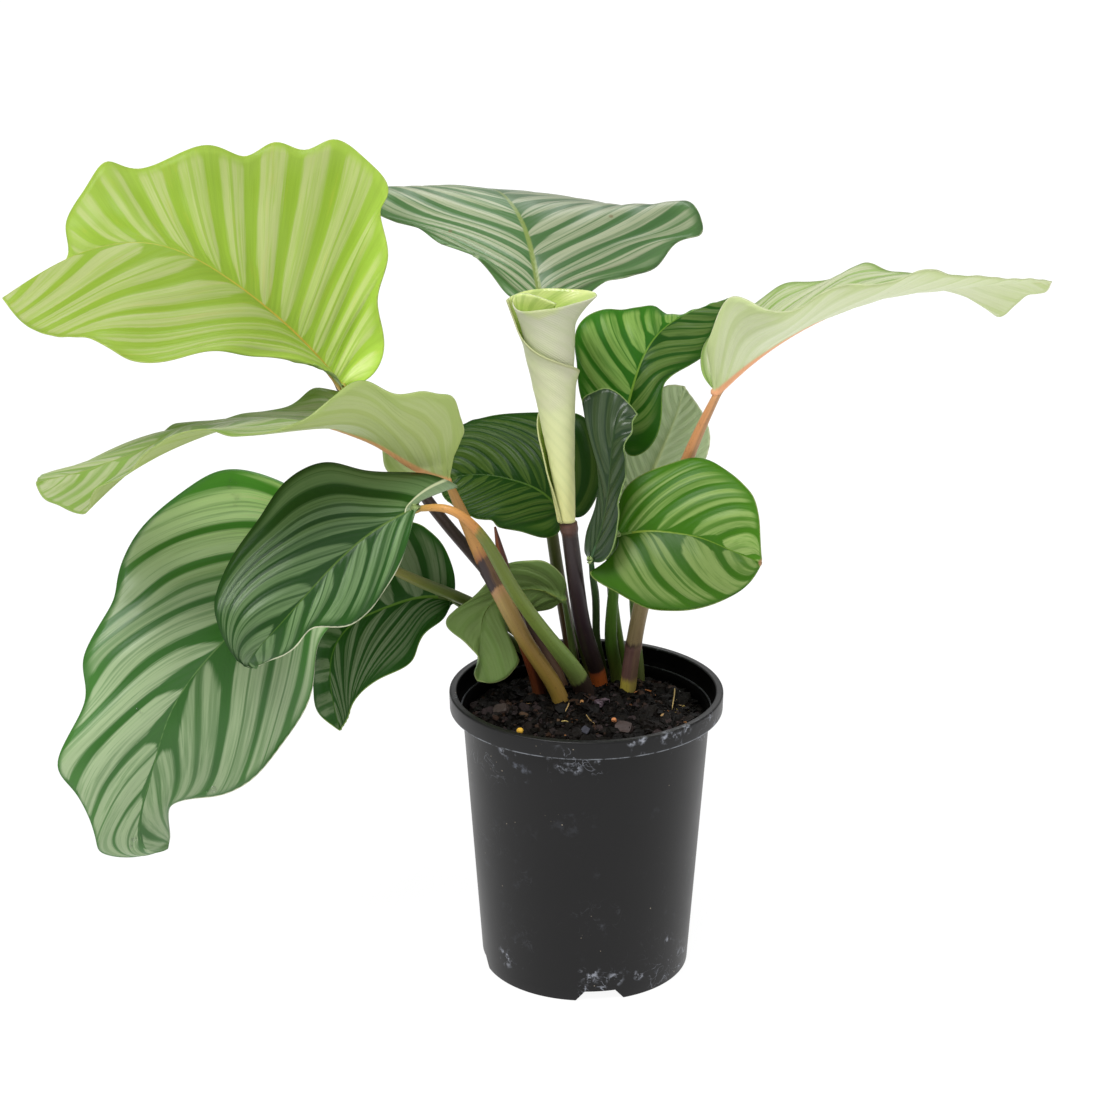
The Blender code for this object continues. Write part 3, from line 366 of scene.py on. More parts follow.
# %% The leaves
LEAVES = {
    "lime_top_left": dict(
        midrib=[(343, 388, 50), (300, 338, 34), (222, 274, 10), (150, 243, -5), (75, 255, -20), (2, 298, -35)],
        left=[(325, 370, 15), (296, 363, -20), (221, 352, -75), (154, 360, -95), (121, 356, -95), (86, 338, -88),
            (36, 331, -65)],
        right=[(371, 376, 50), (383, 345, 55), (378, 298, 60), (389, 256, 65), (379, 209, 72), (387, 188, 75),
            (366, 159, 80), (332, 139, 80), (304, 150, 75), (275, 142, 75), (246, 156, 70), (207, 145, 65),
            (139, 168, 50), (107, 161, 45), (84, 191, 35), (66, 224, 25), (66, 256, 5)],
        bulge=(4, -8), join=(2.0, 3.0), foot=(-15, 32),
        stem=[(530, 628, 42), (484, 568, 48), (432, 506, 62), (398, 455, 72), (368, 412, 62)],
        thick=(4.4, 4.0, 3.6, 2.0)),
    "arching_left": dict(
        midrib=[(447, 480, -5), (429, 474, -9), (403, 460, -15), (378, 444, -21), (352, 433, -27),
            (327, 425, -32), (300, 420, -36), (260, 418, -40), (215, 424, -46), (180, 428, -52), (150, 446, -60),
            (120, 458, -68), (90, 469, -78), (36, 482, -95)],
        left=[(452, 463, -10), (456, 444, -16), (464, 434, -20), (460, 415, -29), (452, 396, -37),
            (438, 393, -43), (421, 390, -50), (395, 393, -58), (367, 381, -67), (345, 388, -80), (326, 403, -94),
            (296, 421, -108), (255, 433, -116), (229, 436, -120), (208, 431, -124), (180, 434, -127),
            (150, 448, -130), (134, 463, -133), (116, 479, -134), (95, 489, -133), (86, 514, -128),
            (62, 507, -118), (42, 496, -106)],
        right=[(432, 488, 10), (408, 480, 20), (388, 470, 28), (383, 452, 36), (375, 430, 41), (345, 394, 42),
            (330, 388, 42), (314, 387, 41), (300, 397, 38), (283, 408, 35), (250, 414, 32), (222, 420, 26),
            (200, 422, 21), (175, 422, 15), (160, 433, 8), (140, 446, 0), (104, 459, -20), (60, 470, -45),
            (43, 474, -65)],
        bulge=(-1, 2), foot=(-16, 12), stem=[(528, 645, 2), (500, 592, -3), (470, 530, -6)],
        thick=(5.4, 4.8, 5.8, 2.4)),
    "front_left": dict(
        midrib=[(416, 506, -45), (364, 538, -60), (316, 584, -80), (275, 630, -97), (250, 660, -95),
            (256, 669, -80)],
        left=[(411, 526, -50), (399, 564, -60), (385, 592, -70), (347, 626, -85), (313, 629, -92),
            (295, 648, -96), (270, 660, -92)],
        right=[(436, 493, -28), (458, 487, -25), (445, 478, -20), (416, 472, -15), (364, 471, -20),
            (326, 462, -28), (285, 481, -42), (261, 516, -58), (237, 550, -70), (216, 592, -88), (216, 620, -98),
            (235, 658, -98)],
        bulge=(4, 4), join=(2.0, 4.0), foot=(-1, 24),
        stem=[(560, 652, 2), (514, 590, -24), (481, 535, -46), (450, 510, -54)],
        thick=(7.0, 4.6, 3.9, 1.9)),
    "low_left": dict(
        midrib=[(345, 550, -25), (290, 580, -38), (218, 647, -60), (171, 712, -74), (150, 780, -80),
            (139, 822, -78), (148, 850, -68), (168, 849, -58)],
        left=[(362, 575, -25), (345, 610, -35), (322, 640, -45), (313, 678, -52), (302, 715, -58),
            (261, 770, -66), (213, 798, -70), (171, 805, -72), (170, 832, -62)],
        right=[(335, 522, -15), (300, 490, -5), (262, 474, 0), (223, 471, 2), (185, 490, -5), (140, 528, -22),
            (118, 577, -42), (112, 605, -50), (83, 658, -68), (84, 700, -78), (58, 763, -92), (75, 792, -92),
            (96, 841, -84), (103, 854, -76), (135, 857, -66)],
        bulge=(5, 5), foot=(-20, 48),
        stem=[(533, 645, 50), (477, 606, 36), (430, 586, 12), (392, 569, -8)],
        thick=(4.0, 3.6, 3.6, 2.0)),
    "behind_left": dict(
        midrib=[(452, 600, 32), (423, 597, 26), (382, 609, 18), (350, 626, 10), (332, 655, 4), (332, 695, 2),
            (340, 731, 2)],
        left=[(449, 610, 28), (440, 622, 22), (423, 636, 18), (413, 660, 12), (382, 678, 4), (354, 702, -1),
            (349, 716, -1)],
        right=[(455, 590, 34), (447, 550, 40), (430, 531, 43), (416, 523, 44), (385, 525, 42), (350, 550, 32),
            (325, 590, 22), (314, 640, 14), (312, 680, 9), (318, 712, 6)],
        bulge=(2, 4), foot=(-31, 58), stem=[(527, 654, 60), (484, 620, 50)], thick=(3.2, 3.0, 2.8, 1.8)),
    "top_centre": dict(
        midrib=[(541, 302, 55), (532, 254, 75), (523, 224, 95), (511, 203, 115), (498, 191, 140),
            (478, 189, 180), (455, 205, 230), (440, 235, 265)],
        left=[(512, 298, 57), (493, 276, 65), (470, 252, 71), (443, 245, 81), (415, 227, 91), (376, 212, 107),
            (374, 195, 123), (385, 188, 150), (400, 196, 195), (415, 215, 240)],
        right=[(575, 300, 57), (590, 293, 61), (610, 280, 65), (635, 275, 73), (658, 266, 79), (677, 243, 91),
            (700, 236, 101), (701, 220, 111), (688, 201, 123), (658, 210, 150), (625, 210, 190), (570, 212, 230),
            (500, 225, 260)],
        bulge=(3, 3), foot=(-7, 56),
        stem=[(567, 625, 60), (556, 560, 68), (549, 500, 82), (547, 430, 92), (543, 350, 72)],
        thick=(4.4, 4.0, 3.6, 2.0)),
    "upper_right": dict(
        midrib=[(622, 428, 25), (629, 401, 25), (636, 376, 28), (649, 346, 38), (672, 322, 55), (700, 308, 70),
            (729, 298, 85)],
        left=[(600, 425, 25), (582, 400, 28), (577, 370, 32), (576, 330, 38), (599, 311, 48), (626, 309, 55),
            (654, 305, 62), (672, 316, 66), (700, 309, 75)],
        right=[(628, 455, 18), (646, 451, 15), (661, 422, 15), (663, 390, 22), (672, 376, 28), (702, 357, 45),
            (709, 344, 52), (720, 318, 70)],
        bulge=(4, 4), join=(2.2, 2.4), foot=(24, 62), stem=[(613, 600, 46), (612, 520, 38), (617, 460, 36)],
        thick=(3.6, 3.2, 3.0, 1.8)),
    "narrow_folded": dict(
        midrib=[(590, 560, -25), (603, 520, -23), (609, 480, -18), (612, 445, -12), (620, 420, -8),
            (638, 414, -5)],
        left=[(584, 552, -18), (586, 538, -14), (592, 515, -12), (598, 490, -8), (604, 468, -4), (600, 450, 0),
            (594, 423, 4), (582, 400, 6), (594, 391, 6), (608, 388, 4), (624, 398, 0)],
        right=[(602, 562, -30), (613, 549, -34), (617, 530, -34), (620, 500, -32), (624, 479, -28),
            (626, 455, -22), (625, 441, -18), (632, 432, -14), (633, 422, -10)],
        bulge=(3, 3), foot=(12, 52), stem=[(597, 640, 38), (596, 605, 24), (593, 578, -4)],
        thick=(2.6, 2.4, 2.4, 1.6)),
    "dark_centre": dict(
        midrib=[(560, 512, 25), (551, 500, 28), (533, 487, 32), (509, 479, 36), (487, 475, 39), (455, 477, 41),
            (438, 485, 42)],
        left=[(559, 532, 18), (543, 538, 14), (519, 531, 10), (498, 527, 9), (492, 521, 9), (479, 519, 11),
            (456, 507, 19), (445, 499, 30)],
        right=[(581, 517, 24), (598, 495, 28), (603, 465, 35), (590, 425, 50), (576, 413, 56), (535, 412, 64),
            (487, 417, 66), (464, 423, 62), (448, 440, 56), (440, 466, 48)],
        bulge=(3, 5), join=(2.2, 2.7), foot=(3, 56), stem=[(579, 630, 48), (571, 560, 33)],
        thick=(3.6, 3.4, 3.0, 1.8)),
    "round_front_right": dict(
        midrib=[(617, 535, -10), (648, 531, -15), (675, 533, -19), (701, 538, -22), (728, 549, -25),
            (762, 563, -30)],
        left=[(616, 520, -7), (618, 508, -4), (627, 487, 0), (648, 471, 3), (669, 463, 4), (696, 458, 3),
            (720, 466, -1), (742, 482, -9), (755, 500, -16), (760, 530, -23)],
        right=[(609, 560, -16), (590, 571, -19), (594, 579, -22), (616, 592, -29), (645, 608, -36),
            (669, 611, -39), (701, 608, -40), (739, 592, -37), (755, 576, -33)],
        bulge=(4, 4), foot=(20, 49), stem=[(611, 640, 34), (614, 585, 9)], thick=(4.2, 4.0, 3.4, 1.8)),
    "upright_back_right": dict(
        midrib=[(635, 515, 52), (655, 465, 58), (676, 415, 64), (684, 386, 68)],
        left=[(665, 507, 52), (695, 478, 54), (710, 444, 58), (708, 425, 60), (699, 407, 63)],
        right=[(618, 500, 54), (614, 470, 56), (622, 430, 60), (645, 398, 64), (669, 385, 66)],
        bulge=(3, 3), foot=(35, 52), stem=[(634, 610, 52), (633, 560, 50)], thick=(3.0, 2.8, 2.6, 1.8)),
    "arching_right": dict(
        midrib=[(716, 392, 0), (750, 362, 0), (796, 331, 0), (842, 309, 0), (888, 294, 0), (947, 284, 0),
            (1000, 281, 0), (1052, 281, 0)],
        left=[(704, 378, 10), (701, 357, 28), (712, 335, 45), (740, 312, 56), (787, 284, 62), (810, 283, 62),
            (837, 275, 62), (865, 261, 65), (890, 271, 60), (925, 276, 53), (955, 289, 46), (982, 299, 40),
            (997, 316, 34), (1014, 307, 26), (1031, 294, 16), (1045, 292, 7)],
        right=[(711, 367, -8), (709, 344, -18), (713, 330, -25), (729, 298, -42), (760, 305, -58),
            (795, 308, -72), (835, 288, -78), (880, 283, -80), (908, 273, -77), (930, 268, -70), (952, 276, -58),
            (980, 276, -44), (1010, 277, -28), (1035, 279, -13)],
        bulge=(4, -4), foot=(27, 34), stem=[(641, 607, 28), (664, 530, 22), (688, 458, 14)],
        thick=(5.2, 5.0, 4.6, 2.4)),
    "small_low_centre": dict(
        midrib=[(562, 598, 30), (540, 588, 28), (508, 592, 24), (485, 612, 18), (480, 645, 12), (477, 681, 6)],
        left=[(566, 582, 26), (546, 562, 20), (530, 560, 18), (506, 564, 16), (485, 585, 15), (472, 598, 14),
            (448, 616, 12), (447, 627, 10), (458, 637, 8), (468, 645, 6), (479, 660, 4), (474, 672, 4)],
        right=[(552, 607, 34), (530, 612, 34), (508, 629, 30), (495, 648, 22), (510, 655, 16), (519, 659, 12),
            (509, 675, 8), (493, 683, 5)],
        bulge=(-2, -2), join=(2.2, 2.2), foot=(-6, 44), stem=[(571, 640, 40)], thick=(2.4, 2.2, 2.0, 1.5)),
}
print(len(LEAVES), "open leaves read off the picture")

# %% [markdown]
# ## From three lines to a blade
# Side vein number u starts at the share u of the midrib (crowded towards the base, as on the real leaf) and
# ends at the share u of the margin. It is a quadratic curve that first runs forward, and its middle is lifted
# a little, which gives the blade its bulge. Share v runs out along the vein.

# %% Shape one half of a blade
RIB_POWER = 1.6
VEIN_LEAD = 0.25
VEIN_SPREAD = 0.6
FULL_BULGE_REACH = 50.0 * MM
# The waves of the margin fade towards the midrib: there the blade follows a margin averaged over this share
WAVE_REACH = 0.09
# Where a blade's slope at its base is read: the number of a side vein and the share out along it
BASE_VEIN = 0.12
BASE_SHARE = 0.5


def margin_curve(leaf, side):
    """One margin of a leaf, from the base of its midrib to the tip."""
    return seen_curve([leaf["midrib"][0]] + leaf[side] + [leaf["midrib"][-1]])


def calmed(line):
    """A line with its waves evened out and its two ends kept."""
    total = np.concatenate([np.zeros((1, 3)), np.cumsum(line, axis=0)])
    at = np.arange(len(line))
    half = np.minimum(np.minimum(at, len(line) - 1 - at), int(WAVE_REACH * len(line)))
    return (total[at + half + 1] - total[at - half]) / (2 * half + 1)[:, None]


def half_blade(leaf, side, u, v):
    """Upper surface of one half: vein number u (0 base, 1 tip), share v out along that vein."""
    midrib = seen_curve(leaf["midrib"])
    margin = margin_curve(leaf, side)
    start = along(midrib, u ** RIB_POWER)
    heading = along(directions(midrib), u ** RIB_POWER)
    reach = along(calmed(margin), u) - start
    forward = np.sum(reach * heading, axis=-1, keepdims=True) * heading
    outward = reach - forward
    upward = unit(np.cross(heading, outward) if side == "left" else np.cross(outward, heading))
    width = np.linalg.norm(outward, axis=-1, keepdims=True)
    height = 2.0 * MM * leaf["bulge"][0 if side == "left" else 1] * np.minimum(1.0, width / FULL_BULGE_REACH)
    middle = start + VEIN_LEAD * forward + VEIN_SPREAD * outward + height * upward
    v = v[..., None]
    return (1.0 - v) ** 2 * start + 2.0 * v * (1.0 - v) * middle + v ** 2 * along(margin, u)


def base_frame(leaf):
    """Base point, direction of the midrib there and the blade's upward normal there."""
    midrib = seen_curve(leaf["midrib"])
    heading = directions(midrib)[0]
    left, right = (half_blade(leaf, side, np.full(1, BASE_VEIN), np.full(1, BASE_SHARE))[0] - midrib[0]
                   for side in ("left", "right"))
    normal = np.cross(heading, unit(left)) + np.cross(unit(right), heading)
    return midrib[0], heading, unit(normal - heading * (normal @ heading))


widest = max(np.max(np.linalg.norm(margin_curve(leaf, "left") - margin_curve(leaf, "right"), axis=1))
             for leaf in LEAVES.values())
print("the widest leaf is", round(widest / MM), "mm from margin to margin")

# %% [markdown]
# ## The blade as a closed mesh
# A real blade is a third of a millimetre thick, has shallow pleats between its side veins, a fine groove over
# the midrib and a raised rib under it. All of these are made in the mesh, because light on the pleats is what
# makes the leaf look alive. The dark and pale bands are counted across the blade on the leaf's own number of
# bands, and the pleats follow the same count. Each point keeps two measures, its distance from the midrib and
# from the margin, so that the paint can draw a rib and a cream edge of even width. Upper and lower face have
# a material each.

# %% Count the bands of a blade
# How far the bands sweep forward on the way out if a leaf doesn't say, and how early they do it
VEIN_SWEEP = (0.35, 0.35)
VEIN_BEND = 0.75
# The share of the midrib from which the bands turn towards the tip
TIP_FROM = 0.85
# How the bands are spaced along the midrib, and how those that would start before the base fan out of it
BAND_SPACING = (0.75, 0.25)
FAN_SCALE = 0.083
FAN_REACH = 9.0


def soft_step(value, low, high):
    share = np.clip((value - low) / (high - low), 0.0, 1.0)
    return share * share * (3.0 - 2.0 * share)


def band_place(number, share, right, look):
    """Place counted in bands, whole numbers being the dark ones; right tells which half it is on."""
    sweep, bands, phase = (np.where(right, look[k][1], look[k][0]) for k in ("sweep", "bands", "phase"))
    sweep = sweep + np.maximum(look.get("tip_sweep", 0.0) - sweep, 0.0) * soft_step(number, TIP_FROM, 1.0)
    reach = sweep * np.abs(share) ** VEIN_BEND
    start = (number - reach) / (1.0 - reach)
    ahead, behind = np.maximum(start, 0.0), np.minimum(start, 0.0)
    count = BAND_SPACING[0] * ahead + BAND_SPACING[1] * ahead ** 2 - FAN_SCALE * np.log(1.0 - FAN_REACH * behind)
    return count * bands + phase


print("bands turn towards the tip from", TIP_FROM, "of the midrib on")

# %% Make a blade mesh
BLADE_ROWS = 170
BLADE_COLUMNS = 22
COLUMN_CROWDING = 1.4
BLADE_THICK = 0.6 * MM
RIB_AT_BASE = 2.8 * MM
RIB_AT_TIP = 0.9 * MM
RIB_TAPER = 0.7
RIB_WIDTH_MM = (2.4, 1.0)
PLEAT_HEIGHT = 0.55 * MM
GROOVE_DEPTH = 0.5 * MM
GROOVE_WIDTH_MM = 1.3
# Shares of the way out between which the pleats rise and then fade to a part of their height
PLEAT_RISE = (0.04, 0.3)
PLEAT_FADE = (0.8, 1.0)
PLEAT_FADED = 0.6
# The margin flutters beyond this share of the way out, and not close to the base and the tip
FLUTTER_RISE = (0.35, 1.0)
FLUTTER_BASE = (0.0, 0.15)
FLUTTER_SHIFT = 0.3


def distance_to(points, line):
    """Shortest distance of each point to the points of a line."""
    return np.min(np.linalg.norm(points[:, None, :] - line[None, :, :], axis=2), axis=1)


def mesh_object(name, points, faces, materials, marks=None, smooth=True):
    """A mesh object from points and faces; marks holds a material number for each face."""
    mesh = bpy.data.meshes.new(name)
    mesh.from_pydata([tuple(p) for p in points], [], faces)
    for material in materials:
        mesh.materials.append(material)
    if marks is not None:
        mesh.polygons.foreach_set("material_index", marks)
    mesh.polygons.foreach_set("use_smooth", [smooth] * len(mesh.polygons))
    mesh.update()
    return add_object(name, mesh)


def keep_numbers(mesh, name, values):
    """Store one number for each point of a mesh."""
    mesh.attributes.new(name, "FLOAT", "POINT").data.foreach_set("value", np.asarray(values, np.float32))


def keep_map(mesh, name, across, up):
    """Store a flat map, two numbers for each corner of a mesh's faces."""
    flat = np.stack([across, up], axis=1).astype(np.float32)
    mesh.uv_layers.new(name=name).data.foreach_set("uv", flat.ravel())


def point_normals(places, quads, fans):
    """Normals of a sheet of quads that ends in a fan of triangles at both ends."""
    a, b, c, d = (places[quads[:, k]] for k in range(4))
    total = np.zeros_like(places)
    for k in range(4):
        np.add.at(total, quads[:, k], np.cross(c - a, d - b))
    for p, q, s in fans:
        total[[p, q, s]] += np.cross(places[q] - places[p], places[s] - places[p])
    return unit(total)


def blade_relief(number, share, rib_mm, look):
    """Height of the pleats and of the margin's flutter over the blade, less the groove over the midrib."""
    out = np.abs(share)
    turn = 2.0 * math.pi * (band_place(number, share, share > 0.0, look) - 0.5)
    pleat = PLEAT_HEIGHT * look.get("pleat", 1.0) * np.cos(turn)
    pleat *= soft_step(out, *PLEAT_RISE) * (1.0 - PLEAT_FADED * soft_step(out, *PLEAT_FADE))
    wave = 2.0 * math.pi * (number * look["waves"] + FLUTTER_SHIFT * np.sign(share))
    flutter = look["flutter"] * MM * np.sin(wave) * soft_step(out, *FLUTTER_RISE)
    flutter *= soft_step(number, *FLUTTER_BASE) * (1.0 - soft_step(number, TIP_FROM, 1.0))
    return pleat + flutter - GROOVE_DEPTH * np.exp(-(rib_mm / GROOVE_WIDTH_MM) ** 2) * (1.0 - number)


def keep_blade_maps(mesh, number, share, base, look):
    """Store the flat maps that the paint reads: shares of the blade, and the count of its bands."""
    count = len(number)
    corner = np.empty(len(mesh.loops), np.int32)
    mesh.loops.foreach_get("vertex_index", corner)
    corner = corner % count
    corner_number, corner_share = number[corner], share[corner]
    totals = np.empty(len(mesh.polygons), np.int32)
    mesh.polygons.foreach_get("loop_total", totals)
    owner = np.repeat(np.arange(len(totals)), totals)
    # The base is one point with all veins in it, so each fan triangle there takes its neighbours' share
    for at in np.flatnonzero(corner == base):
        others = [k for k in mesh.polygons[int(owner[at])].loop_indices if corner[k] != base]
        corner_share[at] = np.mean(corner_share[others])
    keep_map(mesh, "blade", 0.5 + 0.5 * corner_share, corner_number)
    right_face = np.bincount(owner, weights=corner_share) > 0.0
    bands = band_place(corner_number, corner_share, right_face[owner], look)
    keep_map(mesh, "veins", bands, np.abs(corner_share))


def make_blade(name, leaf, look, materials):
    """One leaf blade as a closed mesh, upper and lower face painted apart."""
    rows, columns = BLADE_ROWS, BLADE_COLUMNS
    numbers = np.arange(1, rows) / rows
    shares = (np.arange(columns + 1) / columns) ** COLUMN_CROWDING
    u, v = np.meshgrid(numbers, shares, indexing="ij")
    left, right = half_blade(leaf, "left", u, v), half_blade(leaf, "right", u, v)
    grid = np.concatenate([left[:, :0:-1], right], axis=1)
    midrib = seen_curve(leaf["midrib"])
    across = grid.shape[1]
    points = np.concatenate([grid.reshape(-1, 3), midrib[:1], midrib[-1:]])
    count = len(points)
    base, tip = count - 2, count - 1
    number = np.concatenate([np.repeat(numbers, across), [0.0, 1.0]])
    share = np.concatenate([np.tile(np.concatenate([-shares[:0:-1], shares]), rows - 1), [0.0, 0.0]])
    quads = [(i * across + j, i * across + j + 1, (i + 1) * across + j + 1, (i + 1) * across + j)
             for i in range(rows - 2) for j in range(across - 1)]
    foot = (rows - 2) * across
    fans = [(base, j + 1, j) for j in range(across - 1)]
    fans += [(tip, foot + j, foot + j + 1) for j in range(across - 1)]
    quad_table = np.array(quads)
    rib_mm = distance_to(points, midrib) / MM
    edge_mm = distance_to(points, np.concatenate([margin_curve(leaf, side) for side in ("left", "right")])) / MM
    relief = blade_relief(number, share, rib_mm, look)
    points = points + point_normals(points, quad_table, fans) * relief[:, None]
    rib = RIB_AT_BASE + (RIB_AT_TIP - RIB_AT_BASE) * number ** RIB_TAPER
    rib_width = RIB_WIDTH_MM[1] + (RIB_WIDTH_MM[0] - RIB_WIDTH_MM[1]) * (1.0 - number)
    thick = BLADE_THICK + (rib - BLADE_THICK) * np.exp(-(rib_mm / rib_width) ** 2)
    under = points - point_normals(points, quad_table, fans) * thick[:, None]
    edge = [base] + [i * across for i in range(rows - 1)] + [tip]
    edge += [i * across + across - 1 for i in range(rows - 2, -1, -1)]
    rim = [(a, b, b + count, a + count) for a, b in zip(edge, edge[1:] + edge[:1])]
    lower = [tuple(k + count for k in reversed(face)) for face in quads + fans]
    marks = [0] * (len(quads) + len(fans) + len(rim)) + [1] * len(lower)
    blade = mesh_object(name, np.concatenate([points, under]), quads + fans + rim + lower, materials, marks)
    keep_numbers(blade.data, "rib_mm", np.tile(rib_mm, 2))
    keep_numbers(blade.data, "edge_mm", np.tile(edge_mm, 2))
    keep_blade_maps(blade.data, number, share, base, look)
    return blade


print("blade maker ready:", 4 * BLADE_ROWS * BLADE_COLUMNS, "quads a leaf")

# %% [markdown]
# ## The striped skin
# Pale bands lie between the dark side veins. Each starts as a wedge beside the midrib, widens, and stops short
# of the margin; many have a thin dark line along their middle. The blade's second flat map already counts the
# bands, so a band is the fraction of that count, and its whole part gives a random number for each band so
# that no two are alike. The sums go in one group, because all leaves share them and differ only in colours
# and counts.

# %% Build the striped skin
COLOUR = "NodeSocketColor"
NUMBER = "NodeSocketFloat"
# What each face of a leaf may say, and what is taken where it doesn't
SKIN_COLOURS = ("Ground", "Margin", "Band", "Rib", "Edge", "Flap colour", "Tip colour")
# Two of the numbers paint light: one lightens one half and darkens the other, one paints a sheen near the base
SKIN_NUMBERS = {"Seed": 0.0, "Band share": 0.72, "Band strength": 1.0, "Line": 1.0, "Rib width": 1.1,
                "Edge width": 0.9, "Edge side": 0.0, "Plain margin": 5.0, "Mottle": 0.0, "Spots": 0.0,
                "Flap": 0.0, "Flap side": 1.0, "Tip": 2.0, "Lean": 0.0, "Painted base sheen": 0.0}
skin, r, get, put = new_group(
    "striped leaf skin",
    [(label, COLOUR, None) for label in SKIN_COLOURS]
    + [(label, NUMBER, usual) for label, usual in SKIN_NUMBERS.items()],
    [("Color", COLOUR), ("Roughness", NUMBER), ("Height", NUMBER)])
across_u, u, _ = r.parts(r.node("ShaderNodeUVMap", uv_map="blade"))
vein, v, _ = r.parts(r.node("ShaderNodeUVMap", uv_map="veins"))
place = r.place()
rib_mm, edge_mm = r.kept("rib_mm"), r.kept("edge_mm")
side = r.math("SIGN", r.minus(across_u, 0.5))
t = r.add(vein, r.swing(r.noise(place, 14.0, 1.0), 0.22))
near = r.minus(r.math("FRACT", t), 0.5)
off = r.times(r.math("ABSOLUTE", near), 2.0)
seed = r.add(r.times(r.math("FLOOR", t), 3.7), r.times(side, 41.3), r.times(get["Seed"], 17.0))
chance = r.node("ShaderNodeTexWhiteNoise", seed, noise_dimensions="1D")
chance_two = r.node("ShaderNodeTexWhiteNoise", r.add(seed, 7.31), noise_dimensions="1D")
# Streaks run along the veins: noise that is fine across them and long along them
lane = r.joined(r.times(t, 7.0), r.times(v, 1.3), r.add(r.times(side, 9.0), r.times(get["Seed"], 13.0)))
streak = r.noise(lane, 1.0, 3.0, 0.6)
hair = r.noise(r.stretched(lane, (4.0, 3.0, 1.0)), 1.0, 2.0, 0.6)
# The bands leave the midrib as wedges and are at their full width a quarter of the way to the margin; near
# the tip they open sooner and run out nearer to the margin
way_out = r.math("DIVIDE", rib_mm, r.math("MAXIMUM", r.add(rib_mm, edge_mm), 1.0))
near_tip = r.rise(u, 0.55, 0.95)
opening = r.slope(way_out, r.times(chance, 0.012), r.minus(0.27, r.times(near_tip, 0.19)))
opening = r.math("POWER", opening, 0.55)
plain = r.add(get["Plain margin"], r.swing(chance_two, 3.0))
plain = r.times(plain, r.minus(1.0, r.times(near_tip, 0.7)))
closing = r.rise(edge_mm, r.times(plain, 0.2), r.times(plain, 1.7))
share = r.times(get["Band share"], r.add(0.84, r.times(chance, 0.32)))
width = r.times(share, r.times(opening, r.add(0.78, r.times(closing, 0.22))))
ragged = r.add(off, r.swing(streak, 0.26), r.swing(hair, 0.16))
band = r.times(r.fall(r.minus(ragged, width), -0.1, 0.1), r.rise(width, 0.0, 0.08), closing,
               get["Band strength"])
# A darker line along the middle of most bands, broad in some
line_width = r.add(0.035, r.times(r.math("POWER", chance_two, 3.0), 0.16))
line_off = r.math("ABSOLUTE", r.add(near, r.swing(chance, 0.14)))
line = r.times(r.fall(line_off, r.times(line_width, 0.35), line_width), r.rise(chance_two, 0.12, 0.4),
               get["Line"], r.add(0.55, r.times(hair, 0.7)))
# Fine dark veins run beside it, sharp and thin
veinlet = r.math("ABSOLUTE", r.minus(r.math("FRACT", r.add(r.times(t, 5.0), r.times(streak, 0.9))), 0.5))
veinlet = r.times(r.fall(veinlet, 0.02, 0.09), r.rise(hair, 0.44, 0.6))
shade = r.noise(place, 9.0, 3.0)
ground = r.blend(r.times(r.fall(edge_mm, 3.0, 22.0), 0.8), get["Ground"], get["Margin"])
ground = r.blend(r.times(r.rise(shade, 0.4, 0.75), 0.4), ground, get["Margin"])
pale = r.blend(r.times(r.rise(streak, 0.42, 0.66), 0.5), get["Band"], ground)
pale = r.blend(r.times(chance_two, 0.22), pale, get["Margin"])
colour = r.blend(band, ground, pale)
colour = r.blend(r.times(line, 0.85), colour, ground)
colour = r.blend(r.times(veinlet, 0.4), colour, ground)
blotch = r.noise(r.stretched(lane, (0.8, 2.4, 1.0)), 1.0, 4.0, 0.6)
colour = r.blend(r.times(r.rise(blotch, 0.55, 0.74), get["Mottle"]), colour, get["Rib"])
tone = r.add(0.74, r.times(shade, 0.2), r.times(r.add(hair, streak), 0.16))
# Painted light and shade: one half is made lighter and the other darker, as the light catches it,
# and a painted sheen lightens some leaves near the base, where they arch over
tone = r.times(tone, r.add(1.0, r.times(side, get["Lean"])))
painted_sheen = r.times(r.fall(u, 0.12, 0.5), get["Painted base sheen"], r.add(0.6, r.times(shade, 0.6)))
colour = r.toned(r.times(tone, r.add(1.0, painted_sheen)), colour)
rib_wide = r.times(get["Rib width"], r.minus(1.15, r.times(u, 0.9)))
rib_line = r.fall(rib_mm, r.times(rib_wide, 0.45), r.times(rib_wide, 1.1))
rib_colour = r.blend(r.times(r.rise(u, 0.25, 0.95), 0.65), get["Rib"], get["Margin"])
colour = r.blend(rib_line, colour, rib_colour)
# The pale edge comes and goes, and is missing at the crowded base
edge_line = r.times(r.fall(edge_mm, r.times(get["Edge width"], 0.5), get["Edge width"]), r.rise(u, 0.05, 0.12),
                    r.rise(r.noise(place, 22.0, 2.0), 0.3, 0.5),
                    r.rise(r.add(1.0, r.times(side, get["Edge side"])), 0.0, 1.0))
colour = r.blend(edge_line, colour, get["Edge"])
# Where a lobe at the base is folded over, or the tip is curled, its other face shows
flap_side = r.rise(r.times(side, get["Flap side"]), 0.0, 0.5)
past_flap = r.minus(u, get["Flap"])
other_tone = r.add(0.75, r.times(hair, 0.5))
colour = r.blend(r.times(r.fall(past_flap, -0.004, 0.004), flap_side), colour,
                 r.toned(other_tone, get["Flap colour"]))
crease = r.times(r.fall(r.math("ABSOLUTE", past_flap), 0.002, 0.007), flap_side, r.rise(get["Flap"], 0.0, 0.01))
colour = r.blend(crease, colour, get["Edge"])
colour = r.blend(r.rise(r.minus(u, get["Tip"]), -0.006, 0.006), colour, r.toned(other_tone, get["Tip colour"]))
spots = r.times(r.fall(r.cells(place, 52.0), 0.06, 0.1), r.rise(r.noise(place, 31.0, 2.0), 0.52, 0.58))
colour = r.blend(r.times(spots, get["Spots"]), colour, linear((104, 72, 34)))
roughness = r.add(0.18, r.times(shade, 0.14), r.times(hair, 0.12), r.times(streak, 0.08))
